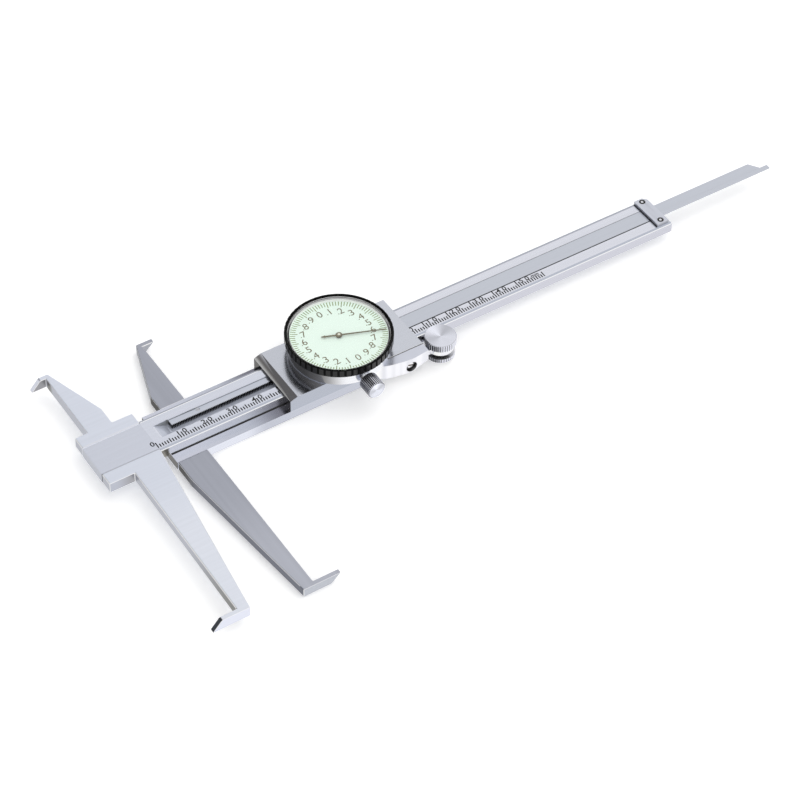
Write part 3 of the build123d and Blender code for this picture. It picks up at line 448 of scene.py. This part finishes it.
# %% [markdown]
# The slider is a long plate under the beam with a sleeve around it. The dial stands on the sleeve, and
# the plate darkens towards it, since flat steel mirrors what rises from it. A mirror-bright plate would
# do this alone, but ground steel blurs the reflection, so the plate has darker tones there: a painted
# reflection. Its sides get painted shade, and its fronts painted light and reflection.

# %% Slider
plate_top = 3.6 * mm


def slider_finish():
    steel = GroundSteel("slider_steel", (0.555, 0.575, 0.635), contrast=0.03)
    plate = 1 - steel.z.between(plate_top + 0.05 * mm, plate_top + 0.1 * mm)
    right_part = steel.x.between(-15 * mm, 10 * mm)
    near_sleeve = steel.x.between(-66 * mm, -38 * mm)
    beside_sleeve = steel.x.between(-44 * mm, -29 * mm)
    free_end = 1 - steel.x.between(-46 * mm, -36 * mm)
    upright = (0 - steel.facing[0]).between(0.85, 0.97)
    steel.lay(right_part, (0.60, 0.62, 0.68))
    steel.lay(plate, (0.61, 0.63, 0.72))
    # Painted reflection of the dial, darkest beside the sleeve.
    steel.lay(plate * near_sleeve, (0.50, 0.525, 0.605))
    steel.lay(plate * beside_sleeve, (0.20, 0.20, 0.24))
    # Painted shade on the left sides and the upright end; painted light and reflection on the fronts.
    steel.lay(steel.left, (0.29, 0.27, 0.26))
    steel.lay(upright, (0.128, 0.124, 0.12))
    steel.lay(steel.front, (0.42, 0.445, 0.51))
    steel.lay(steel.front * plate, (0.50, 0.52, 0.59))
    steel.lay(steel.front * plate * free_end, (0.70, 0.72, 0.80))
    steel.paint_edge_highlights()
    return steel.done(rough=0.18, bump=0.1)


dress(slider_finish(), "slider_body")

# %% [markdown]
# The moving jaws are ground along their stems, so they look darker than the fixed ones from here, and
# their lines show more. That darker look is painted into their tone. Their left sides are painted nearly
# black beside the beam, as shade, and their fronts carry painted reflection.

# %% Moving jaws
def moving_jaw_finish():
    steel = GroundSteel("jaw_steel", (0.40, 0.415, 0.475), lines=(2400, 5, 2400), contrast=0.11)
    short_hook, long_hook = hook_masks(steel)
    near_beam = (1 - steel.below.between(16 * mm, 26 * mm)) * (1 - steel.y.between(19 * mm, 21 * mm))
    short_front = steel.front * steel.y.between(30 * mm, 35 * mm)
    steel.lay(steel.below.between(25 * mm, 70 * mm), (0.49, 0.505, 0.57))
    # Painted shade on the left sides, near black beside the beam, and painted reflection on the fronts.
    steel.lay(steel.left, (0.19, 0.20, 0.245))
    steel.lay(steel.left * near_beam, (0.018, 0.016, 0.014))
    steel.lay(steel.front, (0.48, 0.50, 0.55))
    steel.lay(short_front, (0.36, 0.37, 0.41))
    steel.paint_edge_highlights(short_hook + long_hook)
    return steel.done(rough=0.3)


dress(moving_jaw_finish(), "moving_jaw_lower", "moving_jaw_upper")

# %% [markdown]
# The bracket carries the thumb roller, and a screw in a bore holds it. Its front is curved and shows
# soft upright bands of painted reflection, which a coarse noise stretched along the height gives. The
# bore is painted dark inside, as shade, and the underside painted light.

# %% Roller bracket
bore_radius = 2.15 * mm


def bracket_finish():
    """The bore's axis is that of the screw."""
    steel = GroundSteel("bracket_steel", (0.65, 0.67, 0.75), lines=(900, 900, 6), contrast=0.05)
    low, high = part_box("bracket_screw")
    middle = (low + high) / 2
    away = from_axis(steel.x - middle.x, steel.z - middle.z)
    bore = 1 - away.between(bore_radius, bore_radius + 0.05 * mm)
    wall = bore * (1 - (steel.facing[1] * steel.facing[1]).between(0.3, 0.6))
    reflection_bands = steel.noise((420, 420, 6), detail=0.0).between(0.35, 0.65)
    underside = (0 - steel.facing[2]).between(0.8, 0.95)
    # Painted reflection on the front, in bands; painted shade in the bore; painted light on the
    # underside.
    steel.lay(steel.front, (0.88, 0.88, 0.92))
    steel.lay(steel.front * reflection_bands, (0.76, 0.765, 0.81))
    steel.lay(wall, (0.16, 0.16, 0.165))
    steel.lay(underside, (0.95, 0.95, 0.96))
    steel.paint_edge_highlights(bore)
    return steel.done(rough=0.3)


dress(bracket_finish(), "roller_bracket")

# %% [markdown]
# The depth rod and the plate over the groove's end are plain: one tone on top and a darker one in
# front, which is painted shade. The rod is ground lengthwise like the beam, and the plate across it.

# %% Depth rod and end plate
def plain_finish(name, tone, front, lines, rough):
    steel = GroundSteel(name, tone, lines)
    # The front tone is painted shade.
    steel.lay(steel.front, front)
    return steel.done(rough)


rod_steel = plain_finish("rod_steel", tone=(0.58, 0.605, 0.67), front=(0.50, 0.52, 0.58),
                         lines=along_beam, rough=0.3)
dress(rod_steel, "depth_rod")
plate_steel = plain_finish("plate_steel", tone=(0.63, 0.65, 0.72), front=(0.50, 0.51, 0.55),
                           lines=(2600, 5, 2600), rough=0.36)
dress(plate_steel, "rod_end_plate")

# %% [markdown]
# Screws, rivets, pinions and springs are turned or drawn. They are small, so their rings are finer
# than a pixel of the photograph. A fine speckle without direction stands for them, in colour and
# roughness together.

# %% Turned steel
speckle_scale = (1500, 1500, 1500)


def turned_steel(name, tone):
    steel = Finish(name, Metallic=1.0)
    speckle = steel.noise(speckle_scale)
    colour = steel.tint(speckle, shade(tone, 0.94), shade(tone, 1.06))
    return steel.feed(Base_Color=colour, Roughness=0.25 + speckle * 0.1)


screw_steel = turned_steel("screw_steel", (0.60, 0.61, 0.65))
spring_steel = turned_steel("spring_steel", (0.42, 0.43, 0.47))
dress(screw_steel, "rack_screws", "rod_rivets", "gib_screws", "case_screws", "bridge_screws")
dress(spring_steel, "bezel_ring", "hairspring", "rack_pinion", "centre_pinion")

# %% [markdown]
# Three slotted screws show their heads. The two of the end plate are countersunk, and the bracket's
# lies in its bore. The distance from a screw's axis gives the dark rim around the bright middle, a
# painted shadow where the head lies deep. Both screws of the end plate are one piece, so the distance
# along the plate is folded at its middle first.

# %% Slotted screws
def end_plate_screw_finish():
    """The countersunk heads lie a little deep, so each has a painted shadow as a dark rim around a bright
    middle.
    """
    steel = Finish("end_plate_screw_steel", Metallic=1.0)
    low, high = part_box("end_plate_screws")
    radius = (high.x - low.x) / 2
    x, y, _ = steel.coordinates("Object")
    across = x - (low.x + radius)
    along = (y - (low.y + high.y) / 2).math("ABSOLUTE") - ((high.y - low.y) / 2 - radius)
    rim = from_axis(across, along).between(radius - 0.75 * mm, radius - 0.6 * mm)
    bright = steel.tint(steel.noise(speckle_scale), (0.70, 0.71, 0.75, 1), (0.90, 0.90, 0.94, 1))
    return steel.feed(Base_Color=steel.tint(rim, bright, (0.035, 0.033, 0.03, 1)), Roughness=0.2)


def bracket_screw_finish():
    """Bright at the middle, painted shade at the rim that lies in the bore, and brown deeper than the
    face.
    """
    steel = Finish("bracket_screw_steel", Metallic=1.0)
    low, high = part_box("bracket_screw")
    middle = (low + high) / 2
    x, y, z = steel.coordinates("Object")
    rim = from_axis(x - middle.x, z - middle.z).between(1.15 * mm, 1.25 * mm)
    slot = (y - low.y).between(0.1 * mm, 0.2 * mm)
    speckle = steel.noise(speckle_scale)
    bright = steel.tint(speckle, (0.88, 0.88, 0.92, 1), (0.96, 0.96, 0.98, 1))
    colour = steel.tint(rim, bright, (0.13, 0.13, 0.13, 1))
    colour = steel.tint(slot, colour, (0.22, 0.16, 0.09, 1))
    return steel.feed(Base_Color=colour, Roughness=0.25 + speckle * 0.1)


dress(end_plate_screw_finish(), "end_plate_screws")
dress(bracket_screw_finish(), "bracket_screw")

# %% [markdown]
# The dial's case is chromed and stands on the sleeve. Fine lines run round its wall, from a noise that
# changes fast with height and slowly along the wall. Its left side gets a painted reflection of the dark
# end of the sleeve.

# %% Dial case
def case_chrome():
    chrome = Finish("case_chrome", Metallic=1.0)
    rings = chrome.noise((30, 30, 3000))
    satin = chrome.tint(rings, (0.80, 0.81, 0.84, 1), (0.86, 0.87, 0.90, 1))
    x, _, _ = chrome.coordinates("Normal")
    # Painted reflection: the side that looks left is dark.
    colour = chrome.tint((0 - x).between(0.35, 0.9), satin, (0.16, 0.155, 0.15, 1))
    return chrome.feed(Base_Color=colour, Roughness=0.18 + rings * 0.06)


dress(case_chrome(), "dial_case")

# %% [markdown]
# The bottoms of a knurl are painted black as shade, and this is what makes it readable from afar. The
# distance from the part's axis tells the tips from the bottoms. The side that looks left gets a painted
# shadow. The flat ends show the bright and dark sectors of a face turned on a lathe as a painted
# reflection, and two waves of the angle about the axis, added up, give those.

# %% Knurled steel
knurl_shade_black = (0.035, 0.035, 0.035, 1)
roller_tone = (0.60, 0.61, 0.67)
knob_tone = (0.50, 0.51, 0.56)


def knurled_steel(name, tone, middle, radius, across, flat_tone=1.0, shadow_tone=0.15):
    """Steel painted dark below radius, as shade; across names the two coordinates square to the axis."""
    steel = Finish(name, Metallic=1.0)
    parts = steel.coordinates("Object")
    first, second = (parts[i] - middle[i] for i in across)
    facing = steel.coordinates("Normal")
    end_way = facing[3 - sum(across)]
    side = 1 - (end_way * end_way).between(0.2, 0.6)
    tips = from_axis(first, second).between(radius - 0.13 * mm, radius - 0.03 * mm)
    # Painted shadow on the side that looks left.
    shadow = side * (0 - facing[0]).between(0.35, 0.85)
    angle = second.math("ARCTAN2", first)
    two_waves = (angle * 2 - 3.6).math("COSINE")
    three_waves = (angle * 3 - 5.24).math("COSINE")
    sector_reflection = two_waves * 0.3 + three_waves * 0.2 + 0.5
    # Painted reflection: bright and dark sectors on the flat ends.
    flat = steel.tint(sector_reflection, shade(tone, 0.86 * flat_tone), shade(tone, 1.45 * flat_tone))
    colour = steel.tint(side, flat, shade(tone, 1.2))
    colour = steel.tint(shadow, colour, shade(tone, shadow_tone))
    # Painted shade in the knurl's bottoms.
    colour = steel.tint(side * (1 - tips), colour, knurl_shade_black)
    return steel.feed(Base_Color=colour, Roughness=0.22 + steel.noise(speckle_scale) * 0.06)


for piece, across, tone, flat_tone in (("thumb_roller", (0, 1), roller_tone, 1.0),
                                       ("roller_flange", (0, 1), roller_tone, 1.2),
                                       ("slider_lock_screw", (0, 2), knob_tone, 1.0)):
    low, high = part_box(piece)
    radius = (high.x - low.x) / 2
    dress(knurled_steel(piece + "_steel", tone, (low + high) / 2, radius, across, flat_tone), piece)

# %% [markdown]
# The movement is brass and closed in, but someone who takes the bezel off sees it, so it gets a finish
# of its own: a soft grain in colour and roughness.

# %% Brass
def brass(name, tone):
    metal = Finish(name, Metallic=1.0)
    grain = metal.noise((700, 700, 700), detail=3.0)
    colour = metal.tint(grain, shade(tone, 0.9), shade(tone, 1.08))
    return metal.feed(Base_Color=colour, Roughness=0.28 + grain * 0.1)


gear_brass = brass("gear_brass", (0.72, 0.55, 0.26))
dress(gear_brass, "drive_wheel", "backlash_wheel", "arbor_bushes", "bridge_pillars",
      "movement_bridge", "gib_strip")

# %% [markdown]
# The bezel is gloss black and turns to set zero. A clear coat over a rough base gives a highlight on
# the lands between its flutes, and leaves the flutes themselves black. Its inner wall, which carries
# the crystal, is white.

# %% Bezel
crystal_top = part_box("crystal")[1].z
land_radius = 19.1 * mm
lip_radius = 18.45 * mm
lip_low = crystal_top + 0.01 * mm


def bezel_finish():
    black = Finish("bezel_black", Specular_IOR_Level=0.05, Coat_Roughness=0.2)
    wear = black.noise((900, 900, 900))
    x, y, z = black.coordinates("Object")
    _, _, up = black.coordinates("Normal")
    wall = 1 - (up * up).between(0.1, 0.4)
    distance = from_axis(x, y)
    land = distance.between(land_radius, land_radius + 0.1 * mm) * wall
    within_lip = 1 - distance.between(lip_radius, lip_radius + 0.01 * mm)
    inside = within_lip * (1 - z.between(lip_low, lip_low + 0.01 * mm))
    gloss = black.tint(wear, (0.0015, 0.0015, 0.0015, 1), (0.004, 0.004, 0.004, 1))
    colour = black.tint(inside, gloss, (0.95, 0.95, 0.95, 1))
    return black.feed(Base_Color=colour, Roughness=0.3 + wear * 0.1, Coat_Weight=land * 0.6)


dress(bezel_finish(), "bezel")

# %% [markdown]
# The dial face is a matt pale green with a white rim. The two could be two pieces, but distance from
# the dial's axis tells them apart on one.

# %% Dial face
white_rim = 17.35 * mm


def dial_finish():
    paint = Finish("dial_mint", Roughness=0.5)
    x, y, _ = paint.coordinates("Object")
    rim = from_axis(x, y).between(white_rim, white_rim + 0.1 * mm)
    grain = paint.noise((2500, 2500, 2500))
    mint = paint.tint(grain, (0.82, 0.98, 0.87, 1), (0.84, 0.99, 0.89, 1))
    return paint.feed(Base_Color=paint.tint(rim, mint, (0.95, 0.96, 0.95, 1)))


dress(dial_finish(), "dial_face")

# %% [markdown]
# The crystal is a clear disc with a skirt, which looks frosted from above. Real refraction would need
# many light paths and darken the print. Alpha lets nearly all light straight through instead, so that
# the print under it stays as bright as in air, and gloss still shows on top.

# %% Crystal
disc_low = crystal_top - 0.6 * mm
skirt_radius = 17.35 * mm
rim_radius = 18.05 * mm


def crystal_finish():
    glass = Finish("crystal", Base_Color=(1, 1, 1, 1))
    x, y, z = glass.coordinates("Object")
    distance = from_axis(x, y)
    below_disc = 1 - z.between(disc_low, disc_low + 0.01 * mm)
    skirt = distance.between(skirt_radius, skirt_radius + 0.02 * mm) * below_disc
    rim = distance.between(rim_radius, rim_radius + 0.02 * mm)
    frosted = skirt.math("MAXIMUM", rim)
    smear = glass.noise((120, 120, 120), detail=1.0)
    return glass.feed(Alpha=0.05 + frosted * 0.95, Roughness=0.01 + smear * 0.04 + frosted * 0.4)


dress(crystal_finish(), "crystal")

# %% [markdown]
# The pointer and its hub are lacquered olive. A coat of lacquer makes so thin a strip visibly thicker,
# and a Solidify modifier adds it all round without a new mesh.

# %% Pointer
lacquer_thickness = 0.09 * mm


def pointer_lacquer():
    """Olive lacquer, light at the middle of the hub."""
    paint = Finish("pointer_lacquer", Roughness=0.4)
    speck = paint.noise((3000, 3000, 3000))
    x, y, _ = paint.coordinates("Object")
    middle = 1 - from_axis(x, y).between(0.4 * mm, 0.6 * mm)
    olive = paint.tint(speck, (0.085, 0.066, 0.015, 1), (0.115, 0.09, 0.025, 1))
    return paint.feed(Base_Color=paint.tint(middle, olive, (0.75, 0.74, 0.62, 1)))


lacquer_coat = nodes["pointer"].modifiers.new("lacquer", "SOLIDIFY")
lacquer_coat.thickness = lacquer_thickness
lacquer_coat.offset = 1
dress(pointer_lacquer(), "pointer", "pointer_hub")

# %% [markdown]
# Marks are laid on as very thin solids, a fiftieth of a millimetre high, instead of being painted in
# the steel's colour. They stay sharp at any distance, and they are a mesh. Lines are long boxes made by
# one helper, and numerals are Blender's own lettering turned into a mesh.

# %% Helpers for marks
mark_height = 0.02 * mm
capital_share = 0.72


def ink(name, rough, grain, dark, light):
    """A matt ink with a slight change of colour, as fine as grain."""
    made = Finish(name, Roughness=rough)
    return made.feed(Base_Color=made.tint(made.noise((grain, grain, grain)), dark, light))


def add_bar(mesh, start, end, width, low, high):
    """Adds a flat bar from start to end, two points in the plane, between two heights."""
    along = (end - start).normalized()
    across = Vector((-along.y, along.x)) * width / 2
    corners = [start - across, end - across, end + across, start + across]
    bottom = [mesh.verts.new((c.x, c.y, low)) for c in corners]
    top = [mesh.verts.new((c.x, c.y, high)) for c in corners]
    mesh.faces.new(reversed(bottom))
    mesh.faces.new(top)
    for i in range(4):
        j = (i + 1) % 4
        mesh.faces.new((bottom[i], bottom[j], top[j], top[i]))


def piece_from(mesh, name, finish, body):
    data = bpy.data.meshes.new(name)
    mesh.to_mesh(data)
    mesh.free()
    data.materials.append(finish)
    piece = bpy.data.objects.new(name, data)
    bpy.context.scene.collection.objects.link(piece)
    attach(piece, body)
    print(name, len(data.vertices), "points on", body)
    return piece


def add_words(mesh, words, place, size, squeeze=1.0, bold=0.0):
    """Adds lettering centred on place, size metres high over all capitals."""
    curve = bpy.data.curves.new("lettering", "FONT")
    curve.body = words
    curve.align_x = "CENTER"
    curve.align_y = "CENTER"
    curve.size = size / capital_share
    curve.offset = bold
    curve.resolution_u = 3
    curve.extrude = mark_height / 2
    shape = bpy.data.objects.new("lettering", curve)
    bpy.context.scene.collection.objects.link(shape)
    bpy.context.view_layer.update()
    ready = shape.evaluated_get(bpy.context.evaluated_depsgraph_get())
    flat = bpy.data.meshes.new_from_object(ready)
    flat.transform(Matrix.Translation(place) @ Matrix.Diagonal((squeeze, 1, 1, 1)))
    mesh.from_mesh(flat)
    bpy.data.objects.remove(shape)
    bpy.data.meshes.remove(flat)


# %% [markdown]
# The small screw that clamps the bezel is what a thumb touches most, and its knurl is the finest on the
# caliper. It is turned here from one outline: each ring of points has the same number of flutes, and a
# depth for each ring lets the flutes run out at the chamfers. Its back is hollow and goes over the boss.

# %% Clamp screw
clamp_middle = Vector((-0.35, 0, 11.0)) * mm
clamp_radius = 3.45 * mm
clamp_flutes = 32
flute_points = [
    # share of the way to the next flute, share of the flute's depth
    (0.0, 1), (0.24, 0), (0.5, 0), (0.76, 0),
]
clamp_rings = [
    # distance along -Y, radius, depth of the flutes, all in millimetres
    (20.6, 1.85, 0), (19.45, 1.85, 0), (19.45, 3.1, 0), (19.7, 3.45, 0.24), (25.15, 3.45, 0.24),
    (25.5, 3.12, 0), (25.5, 2.6, 0), (25.42, 2.5, 0), (25.42, 0.9, 0), (25.2, 0.2, 0),
]


def turned_ring(mesh, y, radius, depth):
    ring = []
    for flute in range(clamp_flutes):
        for part, cut in flute_points:
            angle = 2 * math.pi * (flute + part) / clamp_flutes
            r = (radius - depth * cut) * mm
            ring.append(mesh.verts.new((clamp_middle.x + r * math.cos(angle), -y * mm,
                                        clamp_middle.z + r * math.sin(angle))))
    return ring


clamp_mesh = bmesh.new()
rings = [turned_ring(clamp_mesh, *ring) for ring in clamp_rings]
for ring, following in zip(rings, rings[1:]):
    for i in range(len(ring)):
        j = (i + 1) % len(ring)
        clamp_mesh.faces.new((ring[i], ring[j], following[j], following[i]))
clamp_mesh.faces.new(reversed(rings[0]))
clamp_mesh.faces.new(rings[-1])
bmesh.ops.recalc_face_normals(clamp_mesh, faces=clamp_mesh.faces)
clamp_finish = knurled_steel("clamp_screw_steel", knob_tone, clamp_middle, clamp_radius, (0, 2),
                             flat_tone=1.2, shadow_tone=0.55)
dress(clamp_finish, "bezel_clamp_screw")
clamp_head = piece_from(clamp_mesh, "clamp_screw_head", clamp_finish, "bezel_clamp")
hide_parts("bezel_clamp_screw")

# %% [markdown]
# The beam carries a millimetre scale from 0 to 160, engraved and filled with black. Every fifth line is
# longer and every tenth longer still. The numerals stand just above the lines and straddle the line
# that they name.

# %% Scale on the beam
tick_foot = -6.4 * mm
tick_width = 0.44 * mm
short_tick, middle_tick, long_tick = 1.55 * mm, 2.05 * mm, 2.6 * mm
scale_marks = 161
numeral_high = 2.1 * mm
numeral_y = -4.0 * mm
numeral_z = beam_top + mark_height / 2
digit_steps = {
    # how many digits a number has: from its line to the middle of each, in millimetres
    1: (-1.2,), 2: (-1.1, 1.4), 3: (-1.1, 1.2, 3.7),
}
unit_step = 7.1 * mm

ink_and_shadow_black = ink("engraved_and_shadow_black", rough=0.55, grain=4000,
                dark=(0.002, 0.002, 0.002, 1), light=(0.008, 0.008, 0.008, 1))

scale_mesh = bmesh.new()
for i in range(scale_marks):
    length = long_tick if i % 10 == 0 else middle_tick if i % 5 == 0 else short_tick
    foot = Vector((zero_x + i * mm, tick_foot))
    head = foot + Vector((0, length))
    add_bar(scale_mesh, foot, head, tick_width, beam_top, beam_top + mark_height)
piece_from(scale_mesh, "scale_lines", ink_and_shadow_black, "beam")

numeral_mesh = bmesh.new()
for tens in range(16):
    tick = zero_x + tens * 10 * mm
    digits = str(tens * 10)
    for digit, step in zip(digits, digit_steps[len(digits)]):
        place = Vector((tick + step * mm, numeral_y, numeral_z))
        add_words(numeral_mesh, digit, place, numeral_high, squeeze=1.1, bold=0.05 * mm)
place = Vector((tick + unit_step, numeral_y, numeral_z))
add_words(numeral_mesh, "mm", place, numeral_high, squeeze=0.75, bold=0.03 * mm)
piece_from(numeral_mesh, "scale_numerals", ink_and_shadow_black, "beam")

# %% [markdown]
# Narrow gaps draw black lines of shade: along the foot of the beam, where it lies on the slider's plate,
# along the bracket, along the groove's lower edge, beside the depth rod, and in front of the end plate.
# Real gaps would have to be cut in the solids. A thin dark bar in each, a painted shadow, looks the
# same, and moves with what it lies on.

# %% Painted shadow lines in the gaps
sleeve_left = -27.38 * mm
sleeve_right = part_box("slider_body")[1].x
bracket_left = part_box("roller_bracket")[0].x
end_plate_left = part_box("rod_end_plate")[0].x


def shadow_line(name, left, right, y, width, low, high, body):
    # A painted shadow: a thin black bar in a gap.
    mesh = bmesh.new()
    add_bar(mesh, Vector((left, y)), Vector((right, y)), width, low, high)
    piece_from(mesh, name, ink_and_shadow_black, body)


shadow_line("plate_shadow_line", plate_left + 0.2 * mm, sleeve_left, y=-8.22 * mm, width=0.4 * mm,
         low=plate_top, high=plate_top + 0.03 * mm, body="slider")
shadow_line("bracket_seam_shadow_line", bracket_left, sleeve_right, y=-13.4 * mm, width=0.3 * mm,
         low=9.4 * mm, high=9.6 * mm, body="slider")
shadow_line("groove_shadow_line", sleeve_right + 1 * mm, end_plate_left, y=-2.84 * mm, width=0.3 * mm,
         low=beam_top, high=beam_top + mark_height, body="beam")
shadow_line("end_plate_shadow_line", end_plate_left - 0.45 * mm, end_plate_left, y=0.4 * mm, width=14.6 * mm,
         low=beam_top, high=beam_top + mark_height, body="beam")

# %% [markdown]
# The dial has a hundred lines, so one line is two hundredths of a millimetre. Numbers run clockwise from
# zero at the top and go round twice, since each counts a tenth, and all but zero have a point before
# them. The lines are printed in green and the numbers in olive, and the whole print is turned a little,
# as the bezel was left.

# %% Print on the dial
face_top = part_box("dial_face")[1].z
dial_turn = 0.02
dial_divisions = 100
lines_outer = 17.25 * mm
dial_line_width = 0.31 * mm
short_line, long_line = 1.95 * mm, 2.75 * mm
dial_numbers = 20
numbers_at = 12.45 * mm
number_high = 3.0 * mm
point_high = 2.4 * mm
point_step = Vector((1.3 * mm, 0, 0))

dial_green = ink("dial_ink_green", rough=0.6, grain=3000,
                 dark=(0.20, 0.27, 0.08, 1), light=(0.24, 0.31, 0.11, 1))
dial_olive = ink("dial_ink_olive", rough=0.6, grain=3000,
                 dark=(0.10, 0.085, 0.02, 1), light=(0.13, 0.11, 0.03, 1))


def dial_ray(i, count):
    """From the middle towards mark i of count, clockwise from the top."""
    angle = math.pi / 2 + dial_turn - 2 * math.pi * i / count
    return Vector((math.cos(angle), math.sin(angle)))


line_mesh = bmesh.new()
for i in range(dial_divisions):
    ray = dial_ray(i, dial_divisions)
    length = long_line if i % 5 == 0 else short_line
    add_bar(line_mesh, ray * (lines_outer - length), ray * lines_outer, dial_line_width,
            face_top, face_top + mark_height)
piece_from(line_mesh, "dial_lines", dial_green, "bezel")

number_mesh = bmesh.new()
for i in range(dial_numbers):
    place = (dial_ray(i, dial_numbers) * numbers_at).to_3d()
    place.z = face_top + mark_height / 2
    add_words(number_mesh, str(i % 10), place, number_high)
    if i % 10:
        add_words(number_mesh, ".", place - point_step, point_high)
piece_from(number_mesh, "dial_numbers", dial_olive, "bezel")

# %% [markdown]
# The caliper lies on a white sweep, whose floor takes the shadow. Steel looks like what it mirrors, so
# the world is not evenly white: five soft patches are lighter or darker, as cards around a studio table
# would be, and give each face its tone. Light Path makes the world a clean white to the camera alone,
# without more light on the steel. One large lamp above lights the pale dial and leaves no highlight.

# %% Floor, world and lamp
sky_light = 0.95
floor_size = 3.0
floor_gap = 0.2 * mm
cards = [
    # direction, how near to it the card starts, how near it is full, change of the light there
    (Vector((-0.35, 0.50, 0.79)), 0.80, 0.97, -0.70),
    (Vector((0.36, -0.80, 0.48)), 0.70, 0.95, 0.05),
    (Vector((0.40, -0.60, -0.70)), 0.40, 0.90, 0.20),
    (Vector((-0.45, 0.55, -0.70)), 0.80, 0.97, -0.20),
    (Vector((-0.72, 0.57, 0.385)), 0.85, 0.97, 0.20),
]


def studio_floor():
    mesh = bmesh.new()
    bmesh.ops.create_grid(mesh, x_segments=1, y_segments=1, size=floor_size)
    data = bpy.data.meshes.new("floor")
    mesh.to_mesh(data)
    mesh.free()
    paper = Finish("floor_paper", Roughness=1.0, Specular_IOR_Level=0.0, Base_Color=(1, 1, 1, 1),
                   Emission_Color=(1, 1, 1, 1), Emission_Strength=0.2)
    data.materials.append(paper.material)
    floor = bpy.data.objects.new("floor", data)
    floor.location.z = cad_box[0].z - floor_gap
    floor.visible_glossy = False
    bpy.context.scene.collection.objects.link(floor)


def studio_world():
    world = bpy.data.worlds.new("studio")
    world.use_nodes = True
    sky = Graph(world.node_tree)
    x, y, z = sky.coordinates("Generated")
    light = sky_light
    for way, edge, full, change in cards:
        toward = x * way.x + y * way.y + z * way.z
        light = toward.between(edge, full) * change + light
    camera_ray = sky.node("ShaderNodeLightPath", output="Is Camera Ray")
    background = sky.tree.nodes["Background"]
    sky.plug(background.inputs["Strength"], light + (1.0 - light) * camera_ray)
    background.inputs["Color"].default_value = (1, 1, 1, 1)
    bpy.context.scene.world = world
    print("world with", len(cards), "cards")


def add_lamp(name, place, target, size, power):
    data = bpy.data.lights.new(name, "AREA")
    data.shape = "RECTANGLE"
    data.size, data.size_y = size
    data.energy = power
    lamp = bpy.data.objects.new(name, data)
    lamp.location = place
    lamp.rotation_euler = (Vector(target) - Vector(place)).to_track_quat("-Z", "Y").to_euler()
    lamp.visible_glossy = False
    bpy.context.scene.collection.objects.link(lamp)
    print(name, "lamp of", power, "W")


studio_floor()
studio_world()
add_lamp("key", place=(0.3, 0.2, 0.9), target=(0, 0, 0), size=(1.2, 0.9), power=2.2)
bpy.context.scene.view_settings.view_transform = "Standard"
